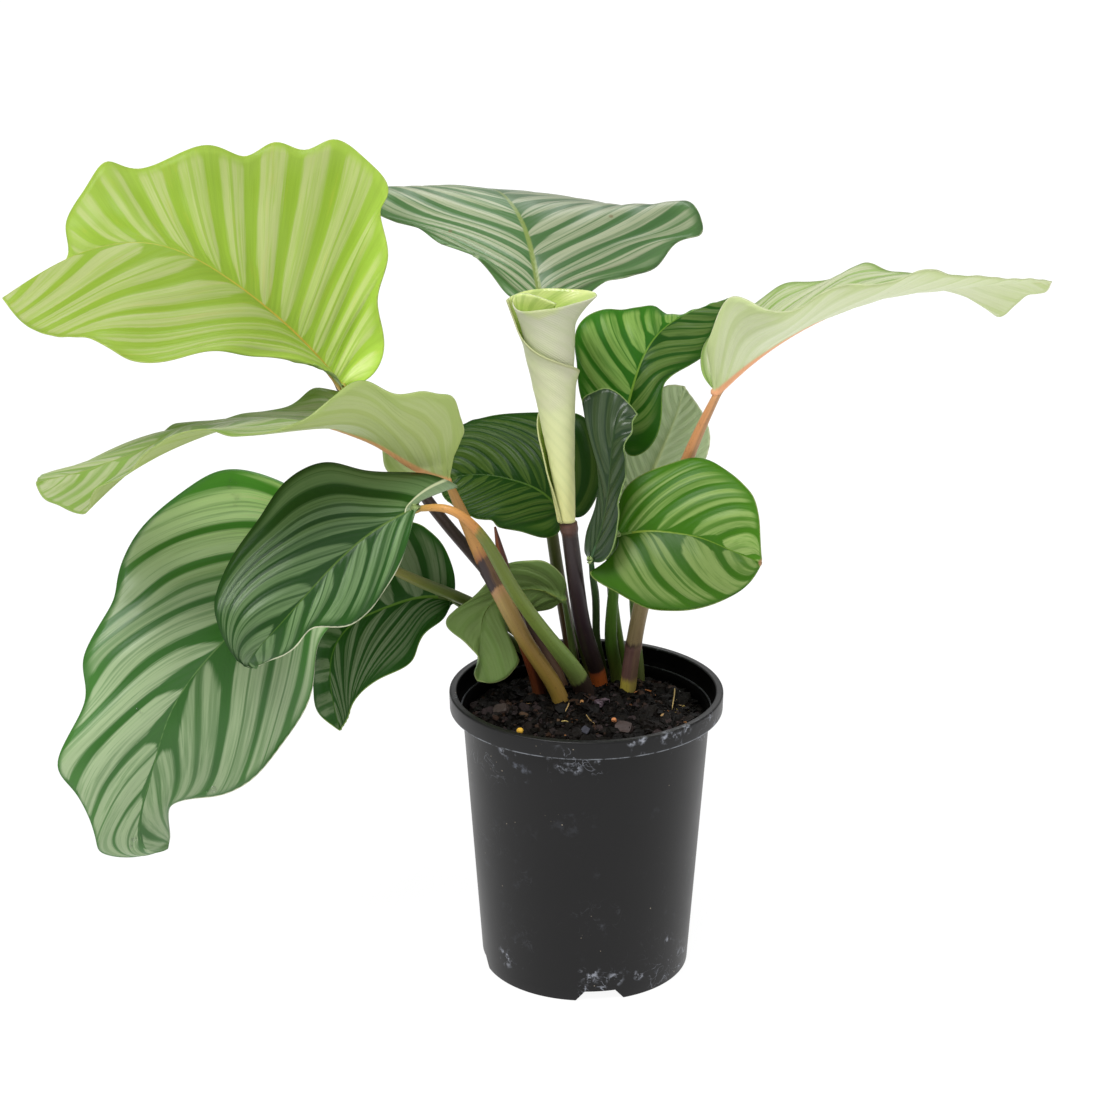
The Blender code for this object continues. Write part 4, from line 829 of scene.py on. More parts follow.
# Relief: a swell for each band, fine ribs on it, and grain
ribbing = r.math("SINE", r.times(t, 2.0 * math.pi * 4.0))
swell = r.math("COSINE", r.times(t, 2.0 * math.pi))
height = r.add(r.times(ribbing, 0.3), r.times(streak, 1.2), r.times(r.noise(place, 900.0, 2.0), 0.2),
               r.times(hair, 0.4), r.times(swell, -0.9))
for label, value in (("Color", colour), ("Roughness", roughness), ("Height", height)):
    r.feed(put[label], value)
print("striped skin:", len(skin.nodes), "nodes")

# %% Paint one face of a leaf
FOLDED = (122, 146, 112)
WET_ROUGHNESS = 0.16
USUAL_GLOSS = 0.12


def leaf_material(name, look):
    """A leaf material from what its look says; the counts are shared by the upper and the lower face."""
    material, recipe, shader = new_material(name)
    group = material.node_tree.nodes.new("ShaderNodeGroup")
    group.node_tree = skin
    for label in SKIN_COLOURS:
        group.inputs[label].default_value = linear(look.get(label.lower().replace(" ", "_"), FOLDED))
    for label, usual in SKIN_NUMBERS.items():
        group.inputs[label].default_value = look.get(label.lower().replace(" ", "_"), usual)
    finish_material(recipe, shader, group.outputs["Color"], group.outputs["Roughness"],
                    group.outputs["Height"], 0.25 * MM, 0.6, look.get("gloss", USUAL_GLOSS))
    shader.inputs["Coat Weight"].default_value = look.get("coat", 0.0)
    shader.inputs["Coat Roughness"].default_value = WET_ROUGHNESS
    return material


print("leaf paint ready")

# %% [markdown]
# ## How each leaf looks
# The number of bands, their phase and their sweep are given for the left and the right half, as counted in
# the picture. Colours are written as they look on screen. Most of the plant's undersides are grey-green.

# %% The looks of the leaves
CREAM = (214, 218, 184)
GREY_UNDER = dict(ground=(118, 148, 104), margin=(128, 156, 112), band=(138, 164, 126), rib=(150, 170, 110),
    edge=(170, 190, 150), band_strength=0.6, line=0.3, rib_width=2.2)
# Some looks paint light and shade: one half of the blade lighter than the other, and a sheen near its base
LOOKS = {
    "lime_top_left": dict(
        bands=(7.7, 15.4), phase=(0.86, 0.08), sweep=(0.65, 0.02), seed=0.1, waves=5.0, flutter=1.5,
        slot="leaf_lime",
        upper=dict(ground=(139, 170, 55), margin=(151, 180, 71), band=(191, 196, 140), rib=(200, 173, 70),
            edge=(174, 194, 98), rib_width=1.8, line=0.9, band_strength=0.66, mottle=0.12, painted_base_sheen=0.5,
            lean=0.05, band_share=0.62, flap=0.17, flap_side=-1.0, flap_colour=(140, 166, 88)),
        under=dict(ground=(160, 186, 96), margin=(168, 192, 110), band=(186, 204, 136), rib=(214, 178, 96),
            edge=(168, 200, 100), rib_width=2.6, line=0.3, band_strength=0.6)),
    "arching_left": dict(
        bands=(12.0, 12.0), phase=(0.1, 0.3), seed=0.3, waves=4.0, flutter=1.0, slot="leaf_light",
        upper=dict(ground=(124, 155, 67), margin=(131, 160, 76), band=(175, 183, 139), rib=(166, 162, 83),
            edge=(155, 174, 104), rib_width=1.8),
        under=dict(ground=(176, 190, 119), margin=(170, 190, 111), band=(194, 206, 149), rib=(227, 170, 115),
            edge=(194, 206, 143), rib_width=3.4, line=0.2, band_strength=0.55)),
    "front_left": dict(
        bands=(6.5, 4.7), phase=(0.24, 0.65), sweep=(0.38, 0.86), seed=0.55, waves=3.0, flutter=0.8,
        slot="leaf_dark", tip_sweep=0.75, pleat=0.8,
        upper=dict(ground=(22, 60, 10), margin=(32, 75, 15), band=(102, 130, 84), rib=(84, 116, 40), edge=CREAM,
            rib_width=1.0, edge_width=1.0, edge_side=-1.0, gloss=0.26, coat=0.1, lean=-0.12, painted_base_sheen=0.25,
            flap=0.15, flap_side=1.0, flap_colour=(132, 152, 118), tip=0.965, tip_colour=(74, 112, 60)),
        under=GREY_UNDER),
    "low_left": dict(
        bands=(4.4, 7.9), phase=(0.17, 0.81), sweep=(0.58, 0.44), seed=0.2, waves=4.0, flutter=1.2,
        slot="leaf_striped", tip_sweep=0.85, pleat=0.6,
        upper=dict(ground=(44, 92, 28), margin=(60, 112, 40), band=(152, 172, 130), rib=(98, 130, 70),
            edge=CREAM, rib_width=1.0, edge_width=1.0, edge_side=-1.0, gloss=0.34, coat=0.15, band_share=0.8,
            painted_base_sheen=2.0, lean=0.08, plain_margin=4.0, tip=0.975, tip_colour=(74, 114, 50)),
        under=GREY_UNDER),
    "behind_left": dict(
        bands=(7.9, 8.0), phase=(0.3, 0.4), sweep=(0.75, 0.05), seed=0.75, waves=3.0, flutter=0.8,
        slot="leaf_dark",
        upper=dict(ground=(30, 70, 16), margin=(38, 84, 22), band=(112, 130, 94), rib=(92, 128, 44),
            edge=(140, 165, 86), rib_width=1.2),
        under=GREY_UNDER),
    "top_centre": dict(
        bands=(14.1, 14.8), phase=(0.22, 0.22), sweep=(0.33, 0.28), seed=0.4, waves=3.0, flutter=1.2,
        slot="leaf_striped",
        upper=dict(ground=(59, 98, 48), margin=(77, 115, 60), band=(158, 166, 134), rib=(123, 141, 69),
            edge=(144, 160, 119), rib_width=2.2, gloss=0.34, coat=0.15, band_share=0.66, spots=0.5, lean=-0.07),
        under=GREY_UNDER),
    "upper_right": dict(
        bands=(9.6, 6.1), phase=(0.82, 0.71), sweep=(0.17, 0.5), seed=0.6, waves=3.0, flutter=0.8,
        slot="leaf_bright",
        upper=dict(ground=(32, 80, 12), margin=(44, 96, 18), band=(108, 138, 66), rib=(112, 146, 52),
            edge=(104, 137, 60), rib_width=1.0, lean=-0.35, band_share=0.76),
        under=GREY_UNDER),
    "narrow_folded": dict(
        bands=(7.0, 7.0), phase=(0.0, 0.4), seed=0.15, waves=4.0, flutter=0.9, slot="leaf_dark",
        upper=dict(ground=(23, 47, 20), margin=(30, 55, 25), band=(58, 76, 46), rib=(52, 78, 38),
            edge=(120, 144, 80), rib_width=1.0, line=0.8, gloss=0.34, coat=0.2),
        under=dict(GREY_UNDER, ground=(57, 87, 56), margin=(61, 93, 59), band=(74, 103, 70))),
    "dark_centre": dict(
        bands=(9.9, 8.0), phase=(0.73, 0.3), sweep=(0.5, 0.75), seed=0.85, waves=3.0, flutter=0.8,
        slot="leaf_dark",
        upper=dict(ground=(24, 56, 10), margin=(32, 66, 12), band=(66, 90, 34), rib=(66, 96, 28),
            edge=(84, 110, 46), rib_width=1.0, mottle=0.18),
        under=GREY_UNDER),
    "round_front_right": dict(
        bands=(4.7, 3.5), phase=(0.68, 0.52), sweep=(0.55, 0.62), seed=0.35, waves=3.0, flutter=0.7,
        slot="leaf_bright", tip_sweep=0.85, pleat=0.8,
        upper=dict(ground=(46, 90, 10), margin=(60, 106, 18), band=(128, 152, 84), rib=(122, 146, 52),
            edge=(130, 150, 78), rib_width=0.9, tip=0.985, tip_colour=(150, 118, 84), lean=-0.18, gloss=0.16,
            band_share=0.7),
        under=GREY_UNDER),
    "upright_back_right": dict(
        bands=(12.0, 12.0), phase=(0.2, 0.6), seed=0.5, waves=3.0, flutter=0.6, slot="leaf_striped",
        upper=dict(ground=(54, 104, 42), margin=(66, 120, 52), band=(140, 166, 117), rib=(110, 146, 75),
            edge=(160, 184, 126)),
        under=dict(ground=(187, 206, 160), margin=(192, 210, 164), band=(208, 223, 186), rib=(200, 211, 149),
            edge=(226, 230, 193), rib_width=1.8, line=0.2, band_strength=0.6)),
    "arching_right": dict(
        bands=(12.0, 12.0), phase=(0.5, 0.1), seed=0.7, waves=4.0, flutter=1.0, slot="leaf_light",
        upper=dict(ground=(134, 163, 84), margin=(143, 170, 93), band=(189, 194, 159), rib=(184, 180, 101),
            edge=(188, 199, 151), rib_width=1.8),
        under=dict(ground=(208, 219, 169), margin=(200, 215, 151), band=(226, 232, 195), rib=(245, 180, 134),
            edge=(223, 227, 186), rib_width=3.6, line=0.2, band_strength=0.6)),
    "small_low_centre": dict(
        bands=(6.0, 6.0), phase=(0.3, 0.8), seed=0.25, waves=3.0, flutter=0.6, slot="leaf_striped",
        upper=dict(ground=(84, 114, 50), margin=(94, 124, 58), band=(114, 138, 80), rib=(120, 143, 68),
            edge=(148, 168, 99), band_strength=0.6, tip=0.9, tip_colour=(128, 150, 106), spots=0.8),
        under=dict(ground=(110, 137, 73), margin=(116, 143, 78), band=(130, 153, 93), rib=(138, 158, 79),
            edge=(158, 175, 112), band_strength=0.6, line=0.3)),
}
print(len(LOOKS), "looks for", len(LEAVES), "leaves")

# %% Make the open leaves
blades = {}
for key, leaf in LEAVES.items():
    look = {"sweep": VEIN_SWEEP, **LOOKS[key]}
    skins = [leaf_material(key + " " + face + " side", dict(look[face], seed=look["seed"]))
             for face in ("upper", "under")]
    blades[key] = make_blade("blade_" + key, leaf, look, skins)
    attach(blades[key], "root")
    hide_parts("leaf_" + key)
print("made", len(blades), "blades,", sum(len(b.data.polygons) for b in blades.values()), "faces")

# %% [markdown]
# ## The stems
# A stalk is a long round rod whose thickness changes along it, with a thicker joint below the blade. A curve
# swept by a circle says exactly that, so a Geometry Nodes tree does it for all stalks: a line of points goes
# in, each with its radius, and a closed rod comes out. The tree also keeps two facts for the paint: how far
# along the stalk a place is, and on which side of it.

# %% Build the stalk tree
STALK_SIDES = 20
STALK_ROUGHNESS = 0.12 * MM
GEOMETRY = "NodeSocketGeometry"


def keep_on(recipe, geometry, name, value, kind="FLOAT", domain="POINT"):
    """Store a value under a name on a geometry, for the paint."""
    return recipe.node("GeometryNodeStoreNamedAttribute", geometry, None, name, value, data_type=kind,
                       domain=domain)


def end_tree(recipe, put, geometry, material):
    """Close a geometry tree: real geometry with its material."""
    real = recipe.node("GeometryNodeRealizeInstances", geometry)
    recipe.feed(put[0], recipe.node("GeometryNodeSetMaterial", real, None, material))


stalk_tree, g, get, put = new_group("stalk", [
    ("Line", GEOMETRY, None), ("Sides", "NodeSocketInt", STALK_SIDES), ("Unevenness", NUMBER, STALK_ROUGHNESS),
    ("Material", "NodeSocketMaterial", None),
], [("Stalk", GEOMETRY)], "GeometryNodeTree")
line = keep_on(g, g.node("GeometryNodeMeshToCurve", get["Line"]), "along", g.node("GeometryNodeSplineParameter"))
ring = keep_on(g, g.node("GeometryNodeCurvePrimitiveCircle", get["Sides"], 1.0), "around",
               g.node("GeometryNodeInputPosition"), "FLOAT_VECTOR")
thick = g.node("GeometryNodeInputNamedAttribute", "thick", data_type="FLOAT")
rod = g.node("GeometryNodeCurveToMesh", line, ring, thick, True)
lumps = g.noise(g.stretched(g.node("GeometryNodeInputPosition"), (1.0, 1.0, 0.3)), 160.0, 2.0)
swell = g.swing(lumps, g.times(get["Unevenness"], 2.0))
swollen = g.node("GeometryNodeSetPosition", rod, None, None,
                 g.vector("SCALE", g.node("GeometryNodeInputNormal"), swell))
end_tree(g, put, g.node("GeometryNodeSetShadeSmooth", swollen), get["Material"])
print("stalk tree:", len(stalk_tree.nodes), "nodes")


# %% Run a tree and keep its mesh
def bake(thing):
    """Replace an object's mesh by what its modifiers make of it."""
    bpy.context.view_layer.update()
    graph = bpy.context.evaluated_depsgraph_get()
    mesh = bpy.data.meshes.new_from_object(thing.evaluated_get(graph), preserve_all_data_layers=True,
                                           depsgraph=graph)
    thing.modifiers.clear()
    thing.data = mesh
    return mesh


def grow(name, start_mesh, tree, values):
    """Run a Geometry Nodes tree on a mesh and return its result as a plain mesh object."""
    thing = add_object(name, start_mesh)
    modifier = thing.modifiers.new(tree.name, "NODES")
    modifier.node_group = tree
    for item in tree.interface.items_tree:
        if item.item_type == "SOCKET" and item.in_out == "INPUT" and item.name in values:
            modifier[item.identifier] = values[item.name]
    bake(thing).name = name
    return thing


print("trees can be run")

# %% [markdown]
# ## The skin of a stalk
# The stalks are green to tan, with an orange joint under some blades and a dark foot, and have fine lengthwise
# streaks. The colours run along the stalk, so they come from a row of stops on its length, and the streaks
# from noise that is stretched along it.


# %% Paint a stalk
def stalk_material(name, stops, gloss=0.38, slant=0.0, right=None):
    """A stalk from colours at shares of its length; right is a colour and a share for its right side."""
    material, r, shader = new_material(name)
    reach = r.kept("along")
    across, up, _ = r.parts(r.kept("around", out=1))
    flat_place = r.joined(across, up, r.times(reach, 6.0))
    streaks = r.noise(r.stretched(flat_place, (1.0, 1.0, 0.35)), 5.0, 4.0, 0.6)
    blur = r.noise(r.place(), 60.0, 2.0)
    base = r.ramp(r.add(reach, r.swing(blur, 0.02), r.swing(streaks, 0.03), r.times(across, slant)), stops)
    if right:
        facing = r.parts(r.node("ShaderNodeNewGeometry", out=1))[0]
        turned = r.rise(r.add(facing, r.swing(streaks, 0.5)), -0.1, 0.25)
        base = r.blend(r.times(turned, right[1]), base, linear(right[0]))
    colour = r.toned(r.add(0.68, r.times(streaks, 0.62)), base)
    specks = r.noise(r.place(), 700.0, 2.0)
    colour = r.blend(r.times(r.rise(specks, 0.62, 0.72), 0.35), colour, linear((84, 62, 42)))
    finish_material(r, shader, colour, r.add(gloss, r.times(streaks, 0.2)),
                    r.add(streaks, r.times(specks, 0.3)), 0.18 * MM, 0.6)
    return material


print("stalk paint ready")

# %% [markdown]
# ## Where the stems run
# Each stem comes straight up out of the soil, leans over in a smooth curve and ends under the base of its
# blade, where it runs a little way into the midrib, so that the two look grown together.

# %% Lay out the stems
SOIL_LEVEL = 168.0 * MM
STEM_SINK = 12.0 * MM
STEM_RISE = 0.6
STEM_JOIN = (1.6, 1.9)
STEM_STATIONS = 112
# How the stalk runs on into the midrib: mm along it, mm up towards the blade, radius in mm
STEM_RUN_IN = ((3.0, 0.3, 1.75), (6.5, 0.75, 1.35), (11.0, 1.15, 0.8))


def stem_curve(foot, points, end):
    """The line of a stem: straight up out of the soil from its sunk foot, then through its points."""
    ground = np.array([foot[0] * MM, foot[1] * MM, SOIL_LEVEL])
    rise = unit(unit(seen_at(*points[0]) - ground) + np.array([0.0, 0.0, 1.0]))
    low = ground - rise * STEM_SINK
    high = ground + rise * STEM_SINK * STEM_RISE
    return smooth_curve([low, high] + [seen_at(*p) for p in points] + [end])


def stalk_object(name, line, radii, material):
    """A stalk from its line of points and its radii."""
    mesh = bpy.data.meshes.new(name)
    mesh.from_pydata([tuple(p) for p in line], [(k, k + 1) for k in range(len(line) - 1)], [])
    keep_numbers(mesh, "thick", radii)
    return grow(name, mesh, stalk_tree, {"Sides": STALK_SIDES, "Unevenness": STALK_ROUGHNESS,
                                         "Material": material})


def stem_line(curve, thick, rings=()):
    """Stations along a stem's curve, and the radius at each, with its rings."""
    shares = np.linspace(0.0, 1.0, STEM_STATIONS)
    places = np.linspace(0.0, 1.0, len(thick))
    radii = np.interp(shares, places, thick)
    for place, height, half_width in rings:
        radii += height * np.exp(-((shares - place) / half_width) ** 2)
    return along(curve, shares), radii * MM

print("stems are sunk", round(STEM_SINK / MM, 1), "mm into the soil")

# %% Colours along each stem, from the soil (0) to the blade (1)
STEM_LOOKS = {
    # lime_top_left's stalk runs in shade behind the front stalks, and its dark maroon is partly that shade,
    # painted
    "lime_top_left": [(0.0, (96, 70, 44)), (0.2, (70, 44, 36)), (0.5, (50, 32, 30)), (0.95, (52, 34, 28)),
        (1.0, (140, 120, 60))],
    "arching_left": [(0.0, (150, 118, 48)), (0.14, (168, 140, 62)), (0.32, (152, 126, 60)),
        (0.5, (164, 138, 78)), (0.545, (178, 134, 92)), (0.555, (48, 32, 32)), (0.655, (50, 34, 34)),
        (0.665, (150, 96, 56)), (0.7, (186, 134, 70)), (0.95, (186, 140, 76)), (1.0, (196, 144, 80))],
    "front_left": [(0.0, (46, 34, 30)), (0.11, (54, 40, 34)), (0.125, (138, 158, 86)), (0.2, (126, 152, 74)),
        (0.45, (106, 124, 46)), (0.71, (102, 116, 40)), (0.75, (128, 122, 48)), (0.765, (196, 134, 66)),
        (0.9, (206, 152, 82)), (1.0, (150, 146, 74))],
    "low_left": [(0.0, (92, 74, 40)), (0.2, (98, 104, 46)), (0.6, (92, 108, 44)), (0.88, (128, 120, 48)),
        (1.0, (130, 132, 60))],
    "behind_left": [(0.0, (82, 66, 38)), (0.3, (80, 96, 42)), (1.0, (86, 106, 46))],
    "top_centre": [(0.0, (70, 42, 20)), (0.16, (84, 54, 26)), (0.3, (82, 84, 32)), (0.8, (84, 96, 36)),
        (1.0, (116, 130, 54))],
    "upper_right": [(0.0, (74, 78, 34)), (0.4, (60, 90, 30)), (1.0, (84, 122, 48))],
    "narrow_folded": [(0.0, (66, 72, 36)), (0.4, (58, 82, 38)), (1.0, (50, 82, 48))],
    "dark_centre": [(0.0, (84, 76, 38)), (0.3, (74, 92, 36)), (1.0, (70, 98, 40))],
    "round_front_right": [(0.0, (88, 92, 40)), (0.3, (74, 110, 32)), (0.8, (72, 112, 32)),
        (1.0, (104, 142, 56))],
    "upright_back_right": [(0.0, (92, 92, 46)), (0.4, (96, 124, 62)), (1.0, (116, 146, 88))],
    "arching_right": [(0.0, (150, 136, 52)), (0.085, (176, 160, 66)), (0.1, (108, 78, 70)),
        (0.19, (116, 84, 78)), (0.198, (54, 30, 28)), (0.21, (150, 130, 92)), (0.4, (164, 144, 100)),
        (0.55, (176, 136, 90)), (0.68, (198, 138, 86)), (0.9, (214, 150, 98)), (1.0, (218, 164, 110))],
    "small_low_centre": [(0.0, (84, 84, 44)), (0.5, (84, 104, 48)), (1.0, (98, 122, 62))],
}
ROLL_STEM_LOOK = [(0.0, (140, 70, 28)), (0.15, (168, 84, 34)), (0.175, (150, 76, 40)), (0.185, (38, 28, 26)),
    (0.5, (46, 32, 38)), (0.9, (44, 30, 30)), (0.925, (80, 50, 40)), (0.96, (84, 54, 42)), (0.97, (60, 40, 32)),
    (1.0, (110, 88, 52))]
SHOOT_LOOK = [(0.0, (96, 60, 34)), (0.3, (120, 56, 30)), (0.7, (150, 78, 32)), (1.0, (110, 60, 30))]
# A stem's right side, as a colour and how strong it is, and how far its colour steps slant
RIGHT_SIDES = {"arching_left": ((140, 104, 58), 0.35), "upper_right": ((96, 132, 40), 0.7),
               "arching_right": ((128, 108, 78), 0.4), "top_centre": ((70, 66, 24), 0.5)}
STEP_SLANTS = {"arching_left": 0.018, "front_left": 0.012, "arching_right": 0.008}
# Rings that stand out of a stem: place along it, height and half width, in mm and shares
STEM_RINGS = {"arching_left": [(0.655, 0.35, 0.012)], "arching_right": [(0.19, 0.5, 0.012)],
              "rolled_new": [(0.93, 0.7, 0.014), (0.955, 0.5, 0.01)]}
print(len(STEM_LOOKS), "stem looks")

# %% Make the stems
for key, leaf in LEAVES.items():
    point, heading, normal = base_frame(leaf)
    back, under = leaf.get("join", STEM_JOIN)
    end = point - heading * back * MM - normal * under * MM
    line, radii = stem_line(stem_curve(leaf["foot"], leaf["stem"], end), leaf["thick"], STEM_RINGS.get(key, ()))
    run_in = [end + heading * ahead * MM + normal * up * MM for ahead, up, _ in STEM_RUN_IN]
    line = np.concatenate([line, run_in])
    radii = np.concatenate([radii, [min(radius * MM, radii[-1]) for _, _, radius in STEM_RUN_IN]])
    paint = stalk_material(key + " stalk", STEM_LOOKS[key], slant=STEP_SLANTS.get(key, 0.0),
                           right=RIGHT_SIDES.get(key))
    stalk = stalk_object("stalk_" + key, line, radii, paint)
    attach(stalk, "root")
    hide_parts("stem_" + key)
print("made", len(LEAVES), "stalks")

# %% [markdown]
# ## The new leaf
# A new leaf comes up as a sheet wound round itself and opens at the top first. The wound sheet follows one
# rule, a spiral whose radius grows with height and with each turn, so Geometry Nodes bends a flat grid into
# it. The outer edge of the sheet runs down the front on a slant, as the picture shows. The sheet then gets
# its thickness, with a brighter, glossy inside.

# %% Build the rolled leaf tree
ROLL_FOOT = (9, 38)
ROLL_BASE = (567, 521, 0)
ROLL_MOUTH = (545, 299, 0)
ROLL_STEM = [(584, 630, 20), (575, 575, 6)]
ROLL_STEM_THICK = (5.2, 5.2, 5.2, 5.0)
ROLL_STEM_INSIDE = 3.6 * MM
ROLL_BASE_RADIUS = 6.2 * MM
ROLL_MOUTH_RADIUS = 19.0 * MM
ROLL_LAYER = 1.5 * MM
ROLL_SHEET = 0.9 * MM
ROLL_FLARE = 1.15
# The lip turns outwards above this height share, and most of all where it runs out into a point
ROLL_LIP_FROM = 0.88
ROLL_LIP = 2.0 * MM
ROLL_POINT = 11.0 * MM
ROLL_POINT_ANGLE = math.radians(12.0)
ROLL_EDGE_LIFT = 2.0 * MM
ROLL_INNER_TURN = -0.8
ROLL_INNER_SHIFT = -0.7
ROLL_CURL_TURNS = 0.5
ROLL_TILT = 1.5 * MM
ROLL_DIP = 3.0 * MM
ROLL_HUMP = 4.0 * MM
ROLL_RIPPLE = 1.2 * MM
# The outer edge stands off the layer below over its last tenth, but not close to the foot
ROLL_EDGE_FROM = 0.9
ROLL_EDGE_FOOT = 0.2
# How sharply the lip turns out, runs to its point and waves its rim towards the mouth
ROLL_LIP_POWER = 1.5
ROLL_POINT_POWER = 6.0
ROLL_RIM_POWER = 6.0
# Where the sheet's end inside the mouth curls across: its way over and back, as shares of the radius
ROLL_CURL_X = (0.2, 1.5)
ROLL_CURL_Y = (0.7, -0.42)
# Where the rim dips, in turns, how narrow the dip is, and where its tilt starts, in radians
ROLL_DIP_AT = 0.9
ROLL_DIP_NARROW = 10.0
ROLL_TILT_FROM = 0.6
# Where the sheet's outer edge runs: height share and turns
ROLL_OUTER_EDGE = ((0.0, 1.17), (0.19, 1.1), (0.39, 1.0), (0.68, 0.5), (0.75, 0.3), (0.81, 0.15),
                   (0.9, 0.03), (1.0, 0.0))
MOST_TURNS = 1.5
ROLL_COLUMNS = 190
ROLL_ROWS = 90

roll_tree, g, get, put = new_group("wound sheet", [
    ("Foot", "NodeSocketVector", None), ("Mouth", "NodeSocketVector", None), ("Foot radius", NUMBER, 0.006),
    ("Mouth radius", NUMBER, 0.026), ("Layer", NUMBER, 0.0015), ("Flare", NUMBER, 1.5),
    ("Inner turn", NUMBER, -0.8), ("Inner shift", NUMBER, -0.7), ("Material", "NodeSocketMaterial", None),
], [("Sheet", GEOMETRY)], "GeometryNodeTree")
grid = g.node("GeometryNodeMeshGrid", 1.0, 1.0, ROLL_COLUMNS, ROLL_ROWS)
flat_x, flat_y, _ = g.parts(g.node("GeometryNodeInputPosition"))
share = g.add(flat_x, 0.5)
height = g.add(flat_y, 0.5)
edge_curve = g.tree.nodes.new("ShaderNodeFloatCurve")
g.feed(edge_curve.inputs["Value"], height)
points_of = edge_curve.mapping.curves[0].points
for number, (place, turns) in enumerate(ROLL_OUTER_EDGE):
    if number < 2:
        points_of[number].location = (place, turns / MOST_TURNS)
    else:
        points_of.new(place, turns / MOST_TURNS)
for point in points_of:
    point.handle_type = "AUTO_CLAMPED"
edge_curve.mapping.update()
last = g.times(edge_curve.outputs[0], MOST_TURNS)
first = g.add(get["Inner turn"], g.times(get["Inner shift"], height))
turn = g.add(first, g.times(g.minus(last, first), share))
radius = g.add(get["Foot radius"], g.times(g.minus(get["Mouth radius"], get["Foot radius"]),
                                           g.math("POWER", height, get["Flare"])))
held = g.math("MAXIMUM", turn, -1.0)
curl = g.math("MINIMUM", g.times(g.minus(held, turn), 1.0 / ROLL_CURL_TURNS), 1.0)
hump = g.times(curl, g.minus(1.0, curl))
wall = g.minus(radius, g.times(get["Layer"], g.add(last, 1.0)))
angle = g.add(math.pi, g.times(held, 2.0 * math.pi))
reach = g.minus(radius, g.times(get["Layer"], g.minus(last, held)))
edge_lift = g.times(g.math("POWER", g.slope(share, ROLL_EDGE_FROM, 1.0), 2.0),
                    g.slope(height, 0.0, ROLL_EDGE_FOOT))
lip = g.math("POWER", g.slope(height, ROLL_LIP_FROM, 1.0), ROLL_LIP_POWER)
to_point = g.math("MAXIMUM", g.math("COSINE", g.minus(angle, ROLL_POINT_ANGLE)), 0.0)
flare = g.add(ROLL_LIP, g.times(g.math("POWER", to_point, ROLL_POINT_POWER), ROLL_POINT))
ripple = g.noise(g.node("GeometryNodeInputPosition"), 7.0, 2.0)
reach = g.add(reach, g.times(edge_lift, ROLL_EDGE_LIFT), g.times(lip, flare), g.swing(ripple, ROLL_RIPPLE))
curl_in = g.math("POWER", curl, 2.0)
curl_x, curl_y = (g.times(wall, g.add(g.times(hump, over), g.times(curl_in, back)))
                  for over, back in (ROLL_CURL_X, ROLL_CURL_Y))
# The rim isn't level: it is tilted, dips at the front left and has a hump where the sheet curls across
from_dip = g.times(g.add(turn, ROLL_DIP_AT), ROLL_DIP_NARROW)
dip = g.math("EXPONENT", g.times(from_dip, from_dip, -1.0))
rim_wave = g.add(g.times(g.math("SINE", g.add(angle, ROLL_TILT_FROM)), ROLL_TILT), g.times(dip, -ROLL_DIP),
                 g.times(hump, 4.0 * ROLL_HUMP))
circle = g.joined(g.add(g.times(g.math("COSINE", angle), reach), curl_x),
                  g.add(g.times(g.math("SINE", angle), reach), curl_y),
                  g.times(rim_wave, g.math("POWER", height, ROLL_RIM_POWER)))
lift = g.vector("SCALE", g.vector("SUBTRACT", get["Mouth"], get["Foot"]), height)
place = g.vector("ADD", g.vector("ADD", get["Foot"], lift), circle)
sheet = keep_on(g, grid, "wound", g.joined(share, height, turn), "FLOAT_VECTOR")
sheet = g.node("GeometryNodeSetShadeSmooth", g.node("GeometryNodeSetPosition", sheet, None, place))
end_tree(g, put, sheet, get["Material"])
print("wound sheet tree:", len(roll_tree.nodes), "nodes")


# %% Paint the new leaf
def new_leaf_material(name, inside):
    """Cream and greenish outside with slanting lines, bright glossy green inside."""
    material, r, shader = new_material(name)
    share, height, turn = r.parts(r.kept("wound", out=1))
    cloud = r.noise(r.place(), 40.0, 3.0)
    slant = r.add(r.times(height, 5.0), r.times(turn, 2.6))
    lines = r.math("SINE", r.times(slant, 2.0 * math.pi * 3.0))
    fine = r.math("SINE", r.times(slant, 2.0 * math.pi * 17.0))
    if inside:
        base = r.ramp(r.add(height, r.swing(cloud, 0.2)),
                      [(0.0, (120, 146, 52)), (0.7, (160, 188, 82)), (0.95, (200, 220, 124)),
                       (1.0, (214, 226, 146))])
        base = r.blend(r.times(r.rise(lines, -0.2, 0.9), 0.3), base, linear((122, 166, 48)))
        gloss = r.add(0.13, r.times(cloud, 0.1))
    else:
        base = r.ramp(r.add(height, r.swing(cloud, 0.25)),
                      [(0.0, (224, 222, 150)), (0.2, (222, 226, 160)), (0.5, (214, 220, 166)),
                       (0.8, (198, 202, 166)), (0.97, (194, 196, 168)), (1.0, (190, 200, 140))])
        base = r.blend(r.times(r.rise(lines, 0.0, 1.0), 0.12), base, linear((168, 186, 122)))
        base = r.blend(r.times(r.rise(cloud, 0.5, 0.75), 0.25), base, linear((200, 190, 178)))
        gloss = r.add(0.42, r.times(cloud, 0.15))
    base = r.blend(r.times(r.rise(share, 0.975, 0.99), 0.6), base, linear((168, 172, 112)))
    finish_material(r, shader, base, gloss, r.add(r.times(fine, 0.5), r.times(lines, 0.6)), 0.15 * MM, 0.5)
    return material


roll_outside = new_leaf_material("new leaf outside", False)
roll_inside = new_leaf_material("new leaf inside", True)
print("new leaf paint ready")


